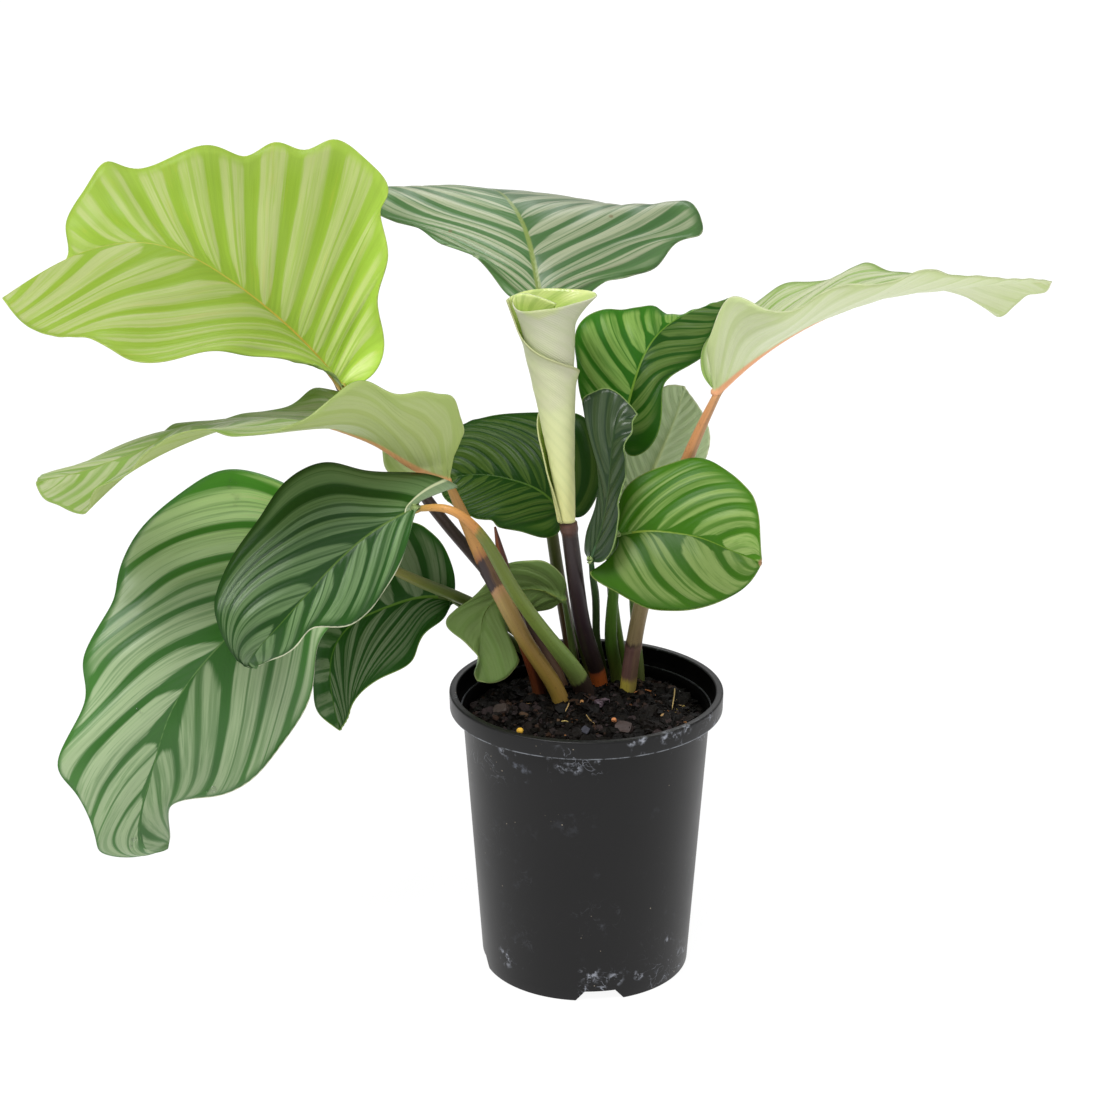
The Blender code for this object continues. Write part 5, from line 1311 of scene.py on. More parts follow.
# %% Make the new leaf
def thicken(thing, thickness, outside, inside):
    """Give a sheet its thickness towards its inner side; the inner side gets its own material."""
    count = len(thing.data.polygons)
    solid = thing.modifiers.new("thickness", "SOLIDIFY")
    solid.thickness = thickness
    solid.offset = -1.0
    solid.use_even_offset = False
    mesh = bake(thing)
    mesh.materials.clear()
    mesh.materials.append(outside)
    mesh.materials.append(inside)
    marks = np.zeros(len(mesh.polygons), np.int32)
    marks[count:2 * count] = 1
    mesh.polygons.foreach_set("material_index", marks)
    mesh.polygons.foreach_set("use_smooth", [True] * len(mesh.polygons))


new_leaf = grow("new_leaf", bpy.data.meshes.new("new_leaf"), roll_tree, {
    "Foot": seen_at(*ROLL_BASE), "Mouth": seen_at(*ROLL_MOUTH), "Foot radius": ROLL_BASE_RADIUS,
    "Mouth radius": ROLL_MOUTH_RADIUS, "Layer": ROLL_LAYER, "Flare": ROLL_FLARE,
    "Inner turn": ROLL_INNER_TURN, "Inner shift": ROLL_INNER_SHIFT, "Material": roll_outside})
thicken(new_leaf, ROLL_SHEET, roll_outside, roll_inside)
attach(new_leaf, "root")
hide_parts("leaf_rolled_new")
print("new leaf:", len(new_leaf.data.polygons), "faces")

# %% Make the new leaf's stalk and the shoot
# The stalk goes on a little way inside the roll, thinner there
ROLL_STEM_TOP = 5.0 * MM
ROLL_STEM_THIN_FROM = -0.5 * MM
roll_base = seen_at(*ROLL_BASE)
roll_end = roll_base + np.array([0.0, 0.0, ROLL_STEM_TOP])
line, radii = stem_line(stem_curve(ROLL_FOOT, ROLL_STEM, roll_end), ROLL_STEM_THICK, STEM_RINGS["rolled_new"])
inside_roll = line[:, 2] > roll_base[2] + ROLL_STEM_THIN_FROM
radii[inside_roll] = np.minimum(radii[inside_roll], ROLL_STEM_INSIDE)
stalk = stalk_object("stalk_rolled_new", line, radii, stalk_material("new leaf stalk", ROLL_STEM_LOOK, 0.3))
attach(stalk, "root")
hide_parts("stem_rolled_new")

SHOOT_FOOT = (-29, 23)
SHOOT_POINTS = [(524, 640, 13), (511, 600, 9), (503, 565, 7), (495, 527, 6)]
SHOOT_THICK = (4.6, 4.5, 4.4, 4.4, 4.3, 3.4, 0.7)
line, radii = stem_line(stem_curve(SHOOT_FOOT, SHOOT_POINTS[:-1], seen_at(*SHOOT_POINTS[-1])), SHOOT_THICK)
shoot = stalk_object("pointed_shoot", line, radii,
                     stalk_material("shoot", SHOOT_LOOK, 0.3, right=((58, 22, 16), 0.85)))
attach(shoot, "root")
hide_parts("shoot_red_pointed")
print("stalk of the new leaf and pointed shoot made")

# %% [markdown]
# ## The pot
# A nursery pot is thin plastic, moulded in one piece: a tapered wall, a thick rim band, a raised floor with
# drain holes and a skirt with four notches. It is turned from a half section, with small round corners so
# that its edges catch the light, and the notches and holes are then cut out.

# %% Turn the pot
POT_HEIGHT = 183.0 * MM
POT_RIM_RADIUS = 85.0 * MM
POT_RIM_BAND = 11.5 * MM
POT_RIM_LIP = 4.7 * MM
POT_SHOULDER_RADIUS = 77.0 * MM
POT_BASE_RADIUS = 65.2 * MM
POT_WALL = 1.6 * MM
POT_FLOOR_UNDER = 7.5 * MM
POT_FLOOR_TOP = 9.5 * MM
POT_FOOT_RADIUS = 12.0 * MM
POT_SIDES = 176
POT_STEP = 6.0 * MM
NOTCH_COUNT = 4
NOTCH_FIRST_ANGLE = math.radians(-82.5)
NOTCH_WIDE = 34.0 * MM
NOTCH_NARROW = 19.0 * MM
NOTCH_HEIGHT = 6.8 * MM
DRAIN_COUNT = 6
DRAIN_RADIUS = 5.0 * MM
DRAIN_CIRCLE = 38.0 * MM


def pot_outline():
    """Half section of the pot from below the middle round: radius and height in metres, corner in mm."""
    under_rim = POT_HEIGHT - POT_RIM_BAND
    inner_rim = POT_RIM_RADIUS - POT_RIM_LIP
    slope = (POT_SHOULDER_RADIUS - POT_BASE_RADIUS) / under_rim
    inside_floor = POT_BASE_RADIUS + slope * POT_FLOOR_TOP - POT_WALL
    inside_top = POT_SHOULDER_RADIUS - POT_WALL
    return [
        (0.0, 0.0, 0.0),
        (POT_FOOT_RADIUS, 0.0, 0.6),
        (POT_FOOT_RADIUS + 1.0 * MM, POT_FLOOR_UNDER, 0.6),
        (POT_BASE_RADIUS - 4.0 * MM, POT_FLOOR_UNDER, 0.6),
        (POT_BASE_RADIUS - 2.4 * MM, 0.0, 0.5),
        (POT_BASE_RADIUS - 0.1 * MM, 0.0, 0.8),
        (POT_SHOULDER_RADIUS, under_rim, 0.4),
        (POT_RIM_RADIUS - 0.3 * MM, under_rim, 0.6),
        (POT_RIM_RADIUS, POT_HEIGHT, 1.3),
        (inner_rim + 0.1 * MM, POT_HEIGHT, 1.0),
        (inner_rim - 0.5 * MM, under_rim + 2.0 * MM, 1.0),
        (inside_top, under_rim - 2.5 * MM, 1.0),
        (inside_floor, POT_FLOOR_TOP, 1.5),
        (0.0, POT_FLOOR_TOP, 0.0),
    ]


def rounded(outline, steps=4):
    """The outline with each corner rounded and long straight stretches divided."""
    corners = [np.array(p[:2]) for p in outline]
    line = [corners[0]]
    for before, corner, after, (_, _, size) in zip(corners, corners[1:], corners[2:], outline[1:-1]):
        back = (before - corner) / np.linalg.norm(before - corner)
        ahead = (after - corner) / np.linalg.norm(after - corner)
        cut = min(size * MM, 0.45 * np.linalg.norm(before - corner), 0.45 * np.linalg.norm(after - corner))
        for k in range(steps + 1):
            t = k / steps
            line.append((1 - t) ** 2 * (corner + back * cut) + 2 * t * (1 - t) * corner
                        + t * t * (corner + ahead * cut))
    line.append(corners[-1])
    fine = [line[0]]
    for before, after in zip(line, line[1:]):
        parts = max(1, int(np.linalg.norm(after - before) / POT_STEP))
        fine += [before + (after - before) * k / parts for k in range(1, parts + 1)]
    return fine


def turned_body(outline, sides):
    """A closed body turned about the Z axis from a half section that starts and ends on the axis."""
    body = bmesh.new()
    start = body.verts.new((0.0, 0.0, outline[0][1]))
    finish = body.verts.new((0.0, 0.0, outline[-1][1]))
    rings = []
    for radius, height in outline[1:-1]:
        turns = [2.0 * math.pi * k / sides for k in range(sides)]
        rings.append([body.verts.new((radius * math.cos(t), radius * math.sin(t), height)) for t in turns])
    for k in range(sides):
        after = (k + 1) % sides
        body.faces.new((start, rings[0][after], rings[0][k]))
        body.faces.new((finish, rings[-1][k], rings[-1][after]))
        for low, high in zip(rings, rings[1:]):
            body.faces.new((low[k], low[after], high[after], high[k]))
    return body


def body_object(name, body):
    """A mesh object from a finished bmesh body, its faces pointing outwards."""
    bmesh.ops.recalc_face_normals(body, faces=body.faces)
    mesh = bpy.data.meshes.new(name)
    body.to_mesh(mesh)
    body.free()
    return add_object(name, mesh)


pot = body_object("nursery_pot", turned_body(rounded(pot_outline()), POT_SIDES))
print("turned the pot:", len(pot.data.polygons), "faces")


# %% Cut the notches and the drain holes
NOTCH_BELOW = 2.0 * MM
NOTCH_DEPTH = (12.0 * MM, 6.0 * MM)
DRAIN_PLAY = 4.0 * MM
DRAIN_SIDES = 28
SHARP_FROM = math.radians(40.0)


def notch_body(angle):
    """A wedge across the pot's bottom edge, wide on the ground and narrower above."""
    body = bmesh.new()
    section = [(-NOTCH_WIDE / 2.0, -NOTCH_BELOW), (NOTCH_WIDE / 2.0, -NOTCH_BELOW),
               (NOTCH_NARROW / 2.0, NOTCH_HEIGHT), (-NOTCH_NARROW / 2.0, NOTCH_HEIGHT)]
    ends = []
    for reach in (POT_BASE_RADIUS - NOTCH_DEPTH[0], POT_BASE_RADIUS + NOTCH_DEPTH[1]):
        ends.append([body.verts.new((reach * math.cos(angle) - across * math.sin(angle),
                                     reach * math.sin(angle) + across * math.cos(angle), height))
                     for across, height in section])
    body.faces.new(ends[0])
    body.faces.new(ends[1][::-1])
    for k in range(4):
        after = (k + 1) % 4
        body.faces.new((ends[0][k], ends[1][k], ends[1][after], ends[0][after]))
    return body


def drill_body(x, y):
    """A short round rod through the pot's floor."""
    body = bmesh.new()
    bmesh.ops.create_cone(body, cap_ends=True, segments=DRAIN_SIDES, radius1=DRAIN_RADIUS, radius2=DRAIN_RADIUS,
                          depth=POT_FLOOR_TOP - POT_FLOOR_UNDER + DRAIN_PLAY)
    bmesh.ops.translate(body, verts=body.verts, vec=(x, y, (POT_FLOOR_TOP + POT_FLOOR_UNDER) / 2.0))
    return body


cutters = [notch_body(NOTCH_FIRST_ANGLE + 2.0 * math.pi * k / NOTCH_COUNT) for k in range(NOTCH_COUNT)]
for k in range(DRAIN_COUNT):
    around = 2.0 * math.pi * (k + 0.5) / DRAIN_COUNT
    cutters.append(drill_body(DRAIN_CIRCLE * math.cos(around), DRAIN_CIRCLE * math.sin(around)))
for body in cutters:
    cutter = body_object("cutter", body)
    cut = pot.modifiers.new("cut", "BOOLEAN")
    cut.operation = "DIFFERENCE"
    cut.solver = "EXACT"
    cut.object = cutter
    bpy.context.view_layer.objects.active = pot
    bpy.ops.object.modifier_apply(modifier=cut.name)
    bpy.data.objects.remove(cutter, do_unlink=True)
pot.data.polygons.foreach_set("use_smooth", [True] * len(pot.data.polygons))
pot.data.set_sharp_from_angle(angle=SHARP_FROM)
print("cut", NOTCH_COUNT, "notches and", DRAIN_COUNT, "holes:", len(pot.data.polygons), "faces")

# %% [markdown]
# ## Places of the picture on a piece
# Worn places, single bits and drops belong where the picture shows them. The line of sight through a place of
# the picture meets the piece in one point, so a ray from the camera finds that point and the surface's
# direction there.

# %% Find places of the picture on a piece
def line_of_sight(thing):
    """A finder for a piece: it gives the point and the normal where the picture shows the piece at x, y."""
    mesh = thing.data
    tree = BVHTree.FromPolygons([v.co for v in mesh.vertices], [p.vertices for p in mesh.polygons])

    def find(x, y):
        ray = Vector(seen_at(x, y, 0.0) - VIEW_EYE).normalized()
        point, normal, _, _ = tree.ray_cast(Vector(VIEW_EYE), ray)
        if point is None:
            print("not seen on", thing.name, "at", x, y)
            point, normal, _, _ = tree.find_nearest(Vector(seen_at(x, y, 0.0)))
        return np.array(point), np.array(normal)

    return find


print("finder ready")

# %% [markdown]
# ## The pot's plastic
# The plastic is charcoal and satin. It has fine moulding grain, dull dusty clouds, thin pale scratches, and
# flaked pale patches where it was knocked: on the rim, just below it and near the ground. Noises draw the
# scratches and the dust, and a list of places says where the knocks are. Its inside is painted shade: near black
# and dull.

# %% Find the worn places
# Worn places as the picture shows them: x and y in the picture, and how far each reaches in mm
WORN_SPOTS = [
    (632, 742, 4.0), (643, 740, 4.5), (666, 738, 5.0), (676, 733, 6.0), (688, 728, 5.0), (562, 766, 6.0),
    (576, 769, 5.0), (503, 750, 5.5), (512, 754, 4.0), (506, 957, 9.0), (590, 976, 9.0), (615, 979, 7.0),
    (640, 974, 6.0), (549, 759, 2.5), (598, 763, 3.0), (668, 940, 4.0)]
pot_at = line_of_sight(pot)
worn_points = [(tuple(pot_at(x, y)[0]), size * MM) for x, y, size in WORN_SPOTS]
print(len(worn_points), "worn places found on the pot")

# %% Paint the pot
UNDER_RIM = POT_HEIGHT - POT_RIM_BAND
SCRATCH = (150, 154, 164)
pot_look, r, shader = new_material("scuffed black plastic")
place = r.place()
height = r.parts(place)[2]
cloud = r.noise(place, 14.0, 4.0, 0.6)
fine_dust = r.noise(place, 120.0, 5.0, 0.65)
base = r.blend(cloud, linear((12, 12, 13)), linear((21, 20, 21)))
rim_share = r.rise(height, UNDER_RIM - 0.3 * MM, UNDER_RIM + 0.8 * MM)
base = r.blend(r.times(rim_share, 0.5), base, linear((22, 22, 23)))
# Where the pot is knocked and rubbed: on the rim, in a belt below it and near the ground
belt = r.times(r.fall(height, UNDER_RIM - 1.0 * MM, UNDER_RIM),
               r.rise(height, UNDER_RIM - 34.0 * MM, UNDER_RIM - 6.0 * MM))
foot = r.times(r.fall(height, 6.0 * MM, 26.0 * MM), r.rise(height, 0.0, 4.0 * MM))
worn = r.add(0.06, r.times(rim_share, 0.75), r.times(belt, 0.8), r.times(foot, 0.9))
patches = r.rise(r.noise(place, 26.0, 3.0), 0.5, 0.62)
# Scratches are thin lines where a warped noise crosses one half
for scale, thin in ((34.0, 0.010), (75.0, 0.016)):
    swirl = r.noise(place, scale, 2.0, 0.5, 1.4)
    thread = r.times(r.fall(r.math("ABSOLUTE", r.minus(swirl, 0.5)), 0.0, thin), patches, worn,
                     r.rise(fine_dust, 0.42, 0.6))
    base = r.blend(r.times(thread, 0.85), base, linear(SCRATCH))
rubbed = r.times(r.rise(fine_dust, 0.53, 0.68), r.rise(r.noise(place, 33.0, 3.0), 0.56, 0.68), worn)
base = r.blend(r.times(rubbed, 0.7), base, linear((140, 146, 160)))
knocks = 0.0
for point, size in worn_points:
    knocks = r.math("MAXIMUM", knocks, r.fall(r.vector("DISTANCE", place, point), 0.2 * size, size))
flaked = r.times(knocks, r.rise(fine_dust, 0.46, 0.58), r.rise(r.noise(place, 260.0, 3.0, 0.6), 0.42, 0.56))
base = r.blend(r.times(flaked, 0.8), base, linear((158, 162, 172)))
# The rim band's lower edge has a thin pale line, in patches
rim_edge_pale_line = r.fall(r.math("ABSOLUTE", r.minus(height, UNDER_RIM + 0.4 * MM)), 0.1 * MM, 0.7 * MM)
base = r.blend(r.times(rim_edge_pale_line, r.rise(fine_dust, 0.35, 0.55)), base, linear((120, 124, 130)))
specks = r.times(r.fall(r.cells(place, 240.0), 0.06, 0.12), r.rise(r.noise(place, 48.0, 2.0), 0.6, 0.66))
base = r.blend(r.times(specks, 0.8), base, linear((170, 158, 138)))
relief = r.add(r.times(r.noise(place, 1500.0, 2.0), 0.5), r.times(fine_dust, 0.5))
finish_material(r, shader, base, r.add(0.3, r.times(cloud, 0.18), r.times(rubbed, 0.3)), relief, 0.06 * MM, 0.4,
                0.27)
pot.data.materials.append(pot_look)
print("pot paint:", len(pot_look.node_tree.nodes), "nodes")

# %% Paint the pot's inside, with painted shade
# The faces that look at the axis get a near-black, dull paint: painted shade, darker than the outside plastic
FACING_OUT = 0.3
shaded_inside_look, r, shader = new_material("dusty black plastic in painted shade")
dust_and_shade = r.noise(r.place(), 160.0, 4.0, 0.6)
finish_material(r, shader, r.blend(dust_and_shade, linear((2, 2, 2)), linear((9, 8, 7))), r.add(0.8, r.times(dust_and_shade, 0.2)),
                dust_and_shade, 0.1 * MM, specular=0.04)
pot.data.materials.append(shaded_inside_look)
for face in pot.data.polygons:
    reach = math.hypot(face.center.x, face.center.y)
    inwards = face.normal.x * face.center.x + face.normal.y * face.center.y < FACING_OUT * reach
    if inwards and face.center.z > POT_FLOOR_TOP and reach < POT_RIM_RADIUS - POT_RIM_LIP:
        face.material_index = 1
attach(pot, "root")
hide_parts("pot")
print("pot:", len(pot.data.polygons), "faces")

# %% [markdown]
# ## The soil
# The pot is full of bark mix: a dark uneven surface, with chips of bark, crumbs and a few pale fibres on it.
# The surface has the same lumps as the plain model, made from the same random numbers, and is finer. The
# loose bits are thousands of small shapes strewn over it, so Geometry Nodes place them.

# %% Shape the ground of the soil
SOIL_EDGE_LEVEL = 163.5 * MM
SOIL_CHUNKS = 60
SOIL_CHUNK_REACH = 66.0 * MM
SOIL_CHUNK_RADIUS = (3.5 * MM, 6.5 * MM)
SOIL_CHUNK_RISE = (1.5 * MM, 4.5 * MM)
SOIL_CHUNK_LEAN = 0.3
# A chunk's sides reach the ground this many radii out, and chunks fade out at this share of the soil's radius
SOIL_CHUNK_FOOT = 1.6
SOIL_CALM_FROM = 0.97
SOIL_CALM_SLOPE = 12.0
SOIL_RINGS = 52
SOIL_SPOKES = 200
SOIL_GAP = 0.3 * MM
SOIL_SHIFT = 0.5
SOIL_ROUGH = 0.45
WALL_SLOPE = (POT_SHOULDER_RADIUS - POT_BASE_RADIUS) / UNDER_RIM

chance = random.Random(17)
chunks = []
for _ in range(SOIL_CHUNKS):
    reach = SOIL_CHUNK_REACH * math.sqrt(chance.random())
    turn = chance.uniform(0.0, 2.0 * math.pi)
    radius = chance.uniform(*SOIL_CHUNK_RADIUS)
    top = chance.uniform(*SOIL_CHUNK_RISE)
    lean = tuple(chance.uniform(-SOIL_CHUNK_LEAN, SOIL_CHUNK_LEAN) for _ in "xy")
    chunks.append((reach * math.cos(turn), reach * math.sin(turn), radius, top) + lean)


def soil_height(x, y):
    """Height of the soil at a point: slightly mounded, with flat-topped chunks standing out of it."""
    reach = np.hypot(x, y) / (POT_SHOULDER_RADIUS - POT_WALL)
    rise = np.zeros_like(x)
    for cx, cy, radius, top, lean_x, lean_y in chunks:
        away = np.hypot(x - cx, y - cy)
        lift = top + (x - cx) * lean_x + (y - cy) * lean_y
        side = (SOIL_CHUNK_FOOT * radius - away) / ((SOIL_CHUNK_FOOT - 1.0) * radius)
        rise = np.maximum(rise, lift * np.clip(side, 0.0, 1.0))
    height = SOIL_LEVEL + (SOIL_EDGE_LEVEL - SOIL_LEVEL) * reach ** 3
    return height + rise * np.clip((SOIL_CALM_FROM - reach) * SOIL_CALM_SLOPE, 0.0, 1.0)


def wall_at(height):
    """Radius of the soil against the pot's wall."""
    return POT_BASE_RADIUS + WALL_SLOPE * height - POT_WALL - SOIL_GAP


def soil_mesh():
    """The soil as a closed body: a fine top, the side against the pot's wall and the bottom."""
    rough = np.random.default_rng(5)
    edge = wall_at(SOIL_EDGE_LEVEL)
    rings = []
    for i in range(1, SOIL_RINGS + 1):
        turn = (np.arange(SOIL_SPOKES) + 0.5 * (i % 2)) * 2.0 * math.pi / SOIL_SPOKES
        reach = edge * i / SOIL_RINGS
        if i < SOIL_RINGS:
            reach = reach + rough.uniform(-SOIL_SHIFT, SOIL_SHIFT, SOIL_SPOKES) * MM
        x, y = reach * np.cos(turn), reach * np.sin(turn)
        height = soil_height(x, y) + rough.uniform(-SOIL_ROUGH, SOIL_ROUGH, SOIL_SPOKES) * MM
        if i == SOIL_RINGS:
            height = np.full(SOIL_SPOKES, SOIL_EDGE_LEVEL)
        rings.append(np.stack([x, y, height], axis=1))
    points = np.concatenate([[[0.0, 0.0, soil_height(np.zeros(1), np.zeros(1))[0]]]] + rings)
    low = rings[-1] * (wall_at(POT_FLOOR_TOP) / edge)
    low[:, 2] = POT_FLOOR_TOP + SOIL_GAP
    points = np.concatenate([points, low, [[0.0, 0.0, POT_FLOOR_TOP + SOIL_GAP]]])
    faces = [(0, 1 + k, 1 + (k + 1) % SOIL_SPOKES) for k in range(SOIL_SPOKES)]
    for i in range(SOIL_RINGS):
        for k in range(SOIL_SPOKES):
            after = (k + 1) % SOIL_SPOKES
            a, b = 1 + i * SOIL_SPOKES + k, 1 + i * SOIL_SPOKES + after
            c, d = a + SOIL_SPOKES, b + SOIL_SPOKES
            faces.append((a, c, d, b))
    bottom = len(points) - 1
    first = bottom - SOIL_SPOKES
    faces += [(bottom, first + (k + 1) % SOIL_SPOKES, first + k) for k in range(SOIL_SPOKES)]
    return points, faces

print("soil lies", round((SOIL_LEVEL - POT_FLOOR_TOP) / MM, 1), "mm deep")

# %% [markdown]
# ## The look of bark
# Wet bark mix is nearly black, with purple-grey and brown bits. Each loose bit carries its own random tint,
# so one material serves them all.


# %% Paint the soil and its bits
def bark_material(name, loose):
    """Dark bark, for the ground of the soil or for the loose bits with a tint each."""
    material, r, shader = new_material(name)
    place = r.place()
    mottle = r.noise(place, 220.0, 4.0, 0.6)
    fibre = r.noise(r.stretched(place, (1.0, 0.3, 0.6)), 900.0, 3.0, 0.6)
    if loose:
        base = r.ramp(r.kept("tint"), [(0.0, (6, 4, 3)), (0.5, (11, 8, 6)), (0.74, (20, 15, 12)),
                                       (0.86, (46, 37, 38)), (0.93, (50, 34, 24)), (0.985, (40, 28, 20)),
                                       (0.99, (150, 96, 52)), (1.0, (188, 160, 112))])
        roughness = r.add(0.42, r.times(mottle, 0.4))
    else:
        base = r.ramp(mottle, [(0.3, (4, 3, 2)), (0.5, (10, 7, 5)), (0.7, (20, 14, 10))])
        roughness = r.add(0.6, r.times(mottle, 0.3))
    colour = r.toned(r.add(0.55, r.times(r.add(fibre, mottle), 0.5)), base)
    finish_material(r, shader, colour, roughness, r.add(mottle, r.times(fibre, 0.8)), 0.5 * MM, 0.9,
                    0.14 if loose else 0.06)
    return material


points, faces = soil_mesh()
soil = mesh_object("bark_soil", points, faces, [bark_material("bark soil", False)])
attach(soil, "root")
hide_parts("soil")
print("soil:", len(soil.data.polygons), "faces")

# %% [markdown]
# ## Loose bits
# The same tree strews chips, crumbs and fibres: it takes the top of the soil, drops points on it at a given
# density, and sets a rough little block or rod on each point with a random turn, size and tint. A block is
# a box of a few faces, pushed out of shape by noise and narrowed towards its ends, so that none is plain.

# %% Build the strewing tree
BIT_KINDS = 6
BIT_CUTS = (5, 4, 3)
LUMP_SCALE = 1.6
strew_tree, g, get, put = new_group("strewn bits", [
    ("Ground", GEOMETRY, None), ("Density", NUMBER, 4000.0), ("Least gap", NUMBER, 0.003),
    ("Length", NUMBER, 0.008), ("Width", NUMBER, 0.005), ("Height", NUMBER, 0.0025),
    ("Roughness", NUMBER, 0.35), ("Tilt", NUMBER, 0.4), ("Smallest", NUMBER, 0.5), ("Largest", NUMBER, 1.2),
    ("Darkest", NUMBER, 0.0), ("Palest", NUMBER, 1.0), ("Seed", "NodeSocketInt", 1),
    ("Material", "NodeSocketMaterial", None),
], [("Bits", GEOMETRY)], "GeometryNodeTree")
seed = get["Seed"]
scatter = g.node("GeometryNodeDistributePointsOnFaces", get["Ground"], None, get["Least gap"], get["Density"],
                 None, seed, distribute_method="POISSON").node.outputs
kinds = g.tree.nodes.new("GeometryNodeJoinGeometry")
for kind in range(BIT_KINDS):
    box = g.node("GeometryNodeMeshCube", (1.0, 1.0, 1.0), *BIT_CUTS)
    shift = g.vector("ADD", g.node("GeometryNodeInputPosition"), (7.3 * kind, 3.1 * kind, 0.0))
    push = g.vector("SUBTRACT", g.noise(shift, LUMP_SCALE, out=1), (0.5, 0.5, 0.5))
    lump = g.node("GeometryNodeSetPosition", box, None, None,
                  g.vector("SCALE", push, g.times(get["Roughness"], 3.0)))
    lump_place = g.node("GeometryNodeInputPosition")
    along_lump = g.math("ABSOLUTE", g.times(g.parts(lump_place)[0], 2.0))
    narrow = g.minus(1.0, g.times(g.math("POWER", along_lump, 2.0), 0.25 + 0.09 * kind))
    spindle = g.node("GeometryNodeSetPosition", lump, None,
                     g.vector("MULTIPLY", lump_place, g.joined(1.0, narrow, narrow)))
    g.tree.links.new(g.node("GeometryNodeGeometryToInstance", spindle), kinds.inputs[0])


def draw(low, high, seed, kind="FLOAT"):
    """A random value between two others, one for each bit."""
    return g.node("FunctionNodeRandomValue", low, high, None, seed, data_type=kind)


size = g.vector("SCALE", g.joined(get["Length"], get["Width"], get["Height"]),
                draw(get["Smallest"], get["Largest"], seed))
lean = g.joined(get["Tilt"], get["Tilt"], math.pi)
spin = g.node("FunctionNodeEulerToRotation", draw(g.vector("SCALE", lean, -1.0), lean, g.add(seed, 11),
                                                  "FLOAT_VECTOR"))
follow = g.node("FunctionNodeAlignRotationToVector", None, 0.5, scatter["Normal"], axis="Z")
turn = g.node("FunctionNodeRotateRotation", follow, spin, rotation_space="LOCAL")
placed = g.node("GeometryNodeInstanceOnPoints", scatter["Points"], None, kinds.outputs[0], True, None, turn,
                size)
tint = draw(get["Darkest"], get["Palest"], g.add(seed, 23))
end_tree(g, put, keep_on(g, placed, "tint", tint, domain="INSTANCE"), get["Material"])
print("strewing tree:", len(strew_tree.nodes), "nodes")

# %% Strew the bits
GROUND_SPOKES = 40
GROUND_RINGS = 22
GROUND_LIFT = 0.3 * MM
STREWN_SHORT_OF_WALL = 3.0 * MM
bit_look = bark_material("loose bark", True)


def ground_mesh(reach):
    """The top of the soil out to a given radius, as the place that bits are strewn on."""
    turns = 2.0 * math.pi * np.arange(GROUND_SPOKES) / GROUND_SPOKES
    x = np.concatenate([[0.0]] + [reach * i / GROUND_RINGS * np.cos(turns) for i in range(1, GROUND_RINGS + 1)])
    y = np.concatenate([[0.0]] + [reach * i / GROUND_RINGS * np.sin(turns) for i in range(1, GROUND_RINGS + 1)])
    points = np.stack([x, y, soil_height(x, y) + GROUND_LIFT], axis=1)
    after = [(k + 1) % GROUND_SPOKES for k in range(GROUND_SPOKES)]
    faces = [(0, 1 + k, 1 + after[k]) for k in range(GROUND_SPOKES)]
    for first in range(1, len(x) - GROUND_SPOKES, GROUND_SPOKES):
        outer = first + GROUND_SPOKES
        faces += [(first + k, outer + k, outer + after[k], first + after[k]) for k in range(GROUND_SPOKES)]
    mesh = bpy.data.meshes.new("strewing_ground")
    mesh.from_pydata([tuple(p) for p in points], [], faces)
    return mesh


BITS = {
    "bark_chips": {"Density": 26000.0, "Least gap": 0.0048, "Length": 0.0085, "Width": 0.0058, "Height": 0.0032,
                   "Roughness": 0.34, "Tilt": 0.6, "Smallest": 0.55, "Largest": 1.25, "Darkest": 0.0,
                   "Palest": 0.97, "Seed": 3},
    "bark_crumbs": {"Density": 160000.0, "Least gap": 0.0017, "Length": 0.0030, "Width": 0.0023,
                    "Height": 0.0016, "Roughness": 0.25, "Tilt": 0.9, "Smallest": 0.45, "Largest": 1.3,
                    "Darkest": 0.0, "Palest": 0.99, "Seed": 8},
    "bark_fibres": {"Density": 6000.0, "Least gap": 0.007, "Length": 0.0150, "Width": 0.0008, "Height": 0.0006,
                    "Roughness": 0.5, "Tilt": 0.35, "Smallest": 0.4, "Largest": 1.2, "Darkest": 0.45,
                    "Palest": 1.0, "Seed": 21},
}
for name, values in BITS.items():
    bits = grow(name, ground_mesh(wall_at(SOIL_EDGE_LEVEL) - STREWN_SHORT_OF_WALL), strew_tree,
                dict(values, Material=bit_look))
    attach(bits, "root")
    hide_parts("soil")
    print(name, len(bits.data.polygons), "faces")

# %% [markdown]
# ## Bits that the picture shows one by one
# A few chunks, fibres and a yellow bead of fertiliser stand out on the soil, and the low left leaf carries
# drops of water. Each is found on its piece along the line of sight and lies or hangs on the surface there.


# %% Shape single bits
COLOUR_KEY = "shade"
CHUNK_CUTS = 2
CHUNK_PUSH = 0.08
CHUNK_NARROWING = 0.22
BEAD_LEVEL = 3
STRAND_LAST = 15
STRAND_SIDES = 6


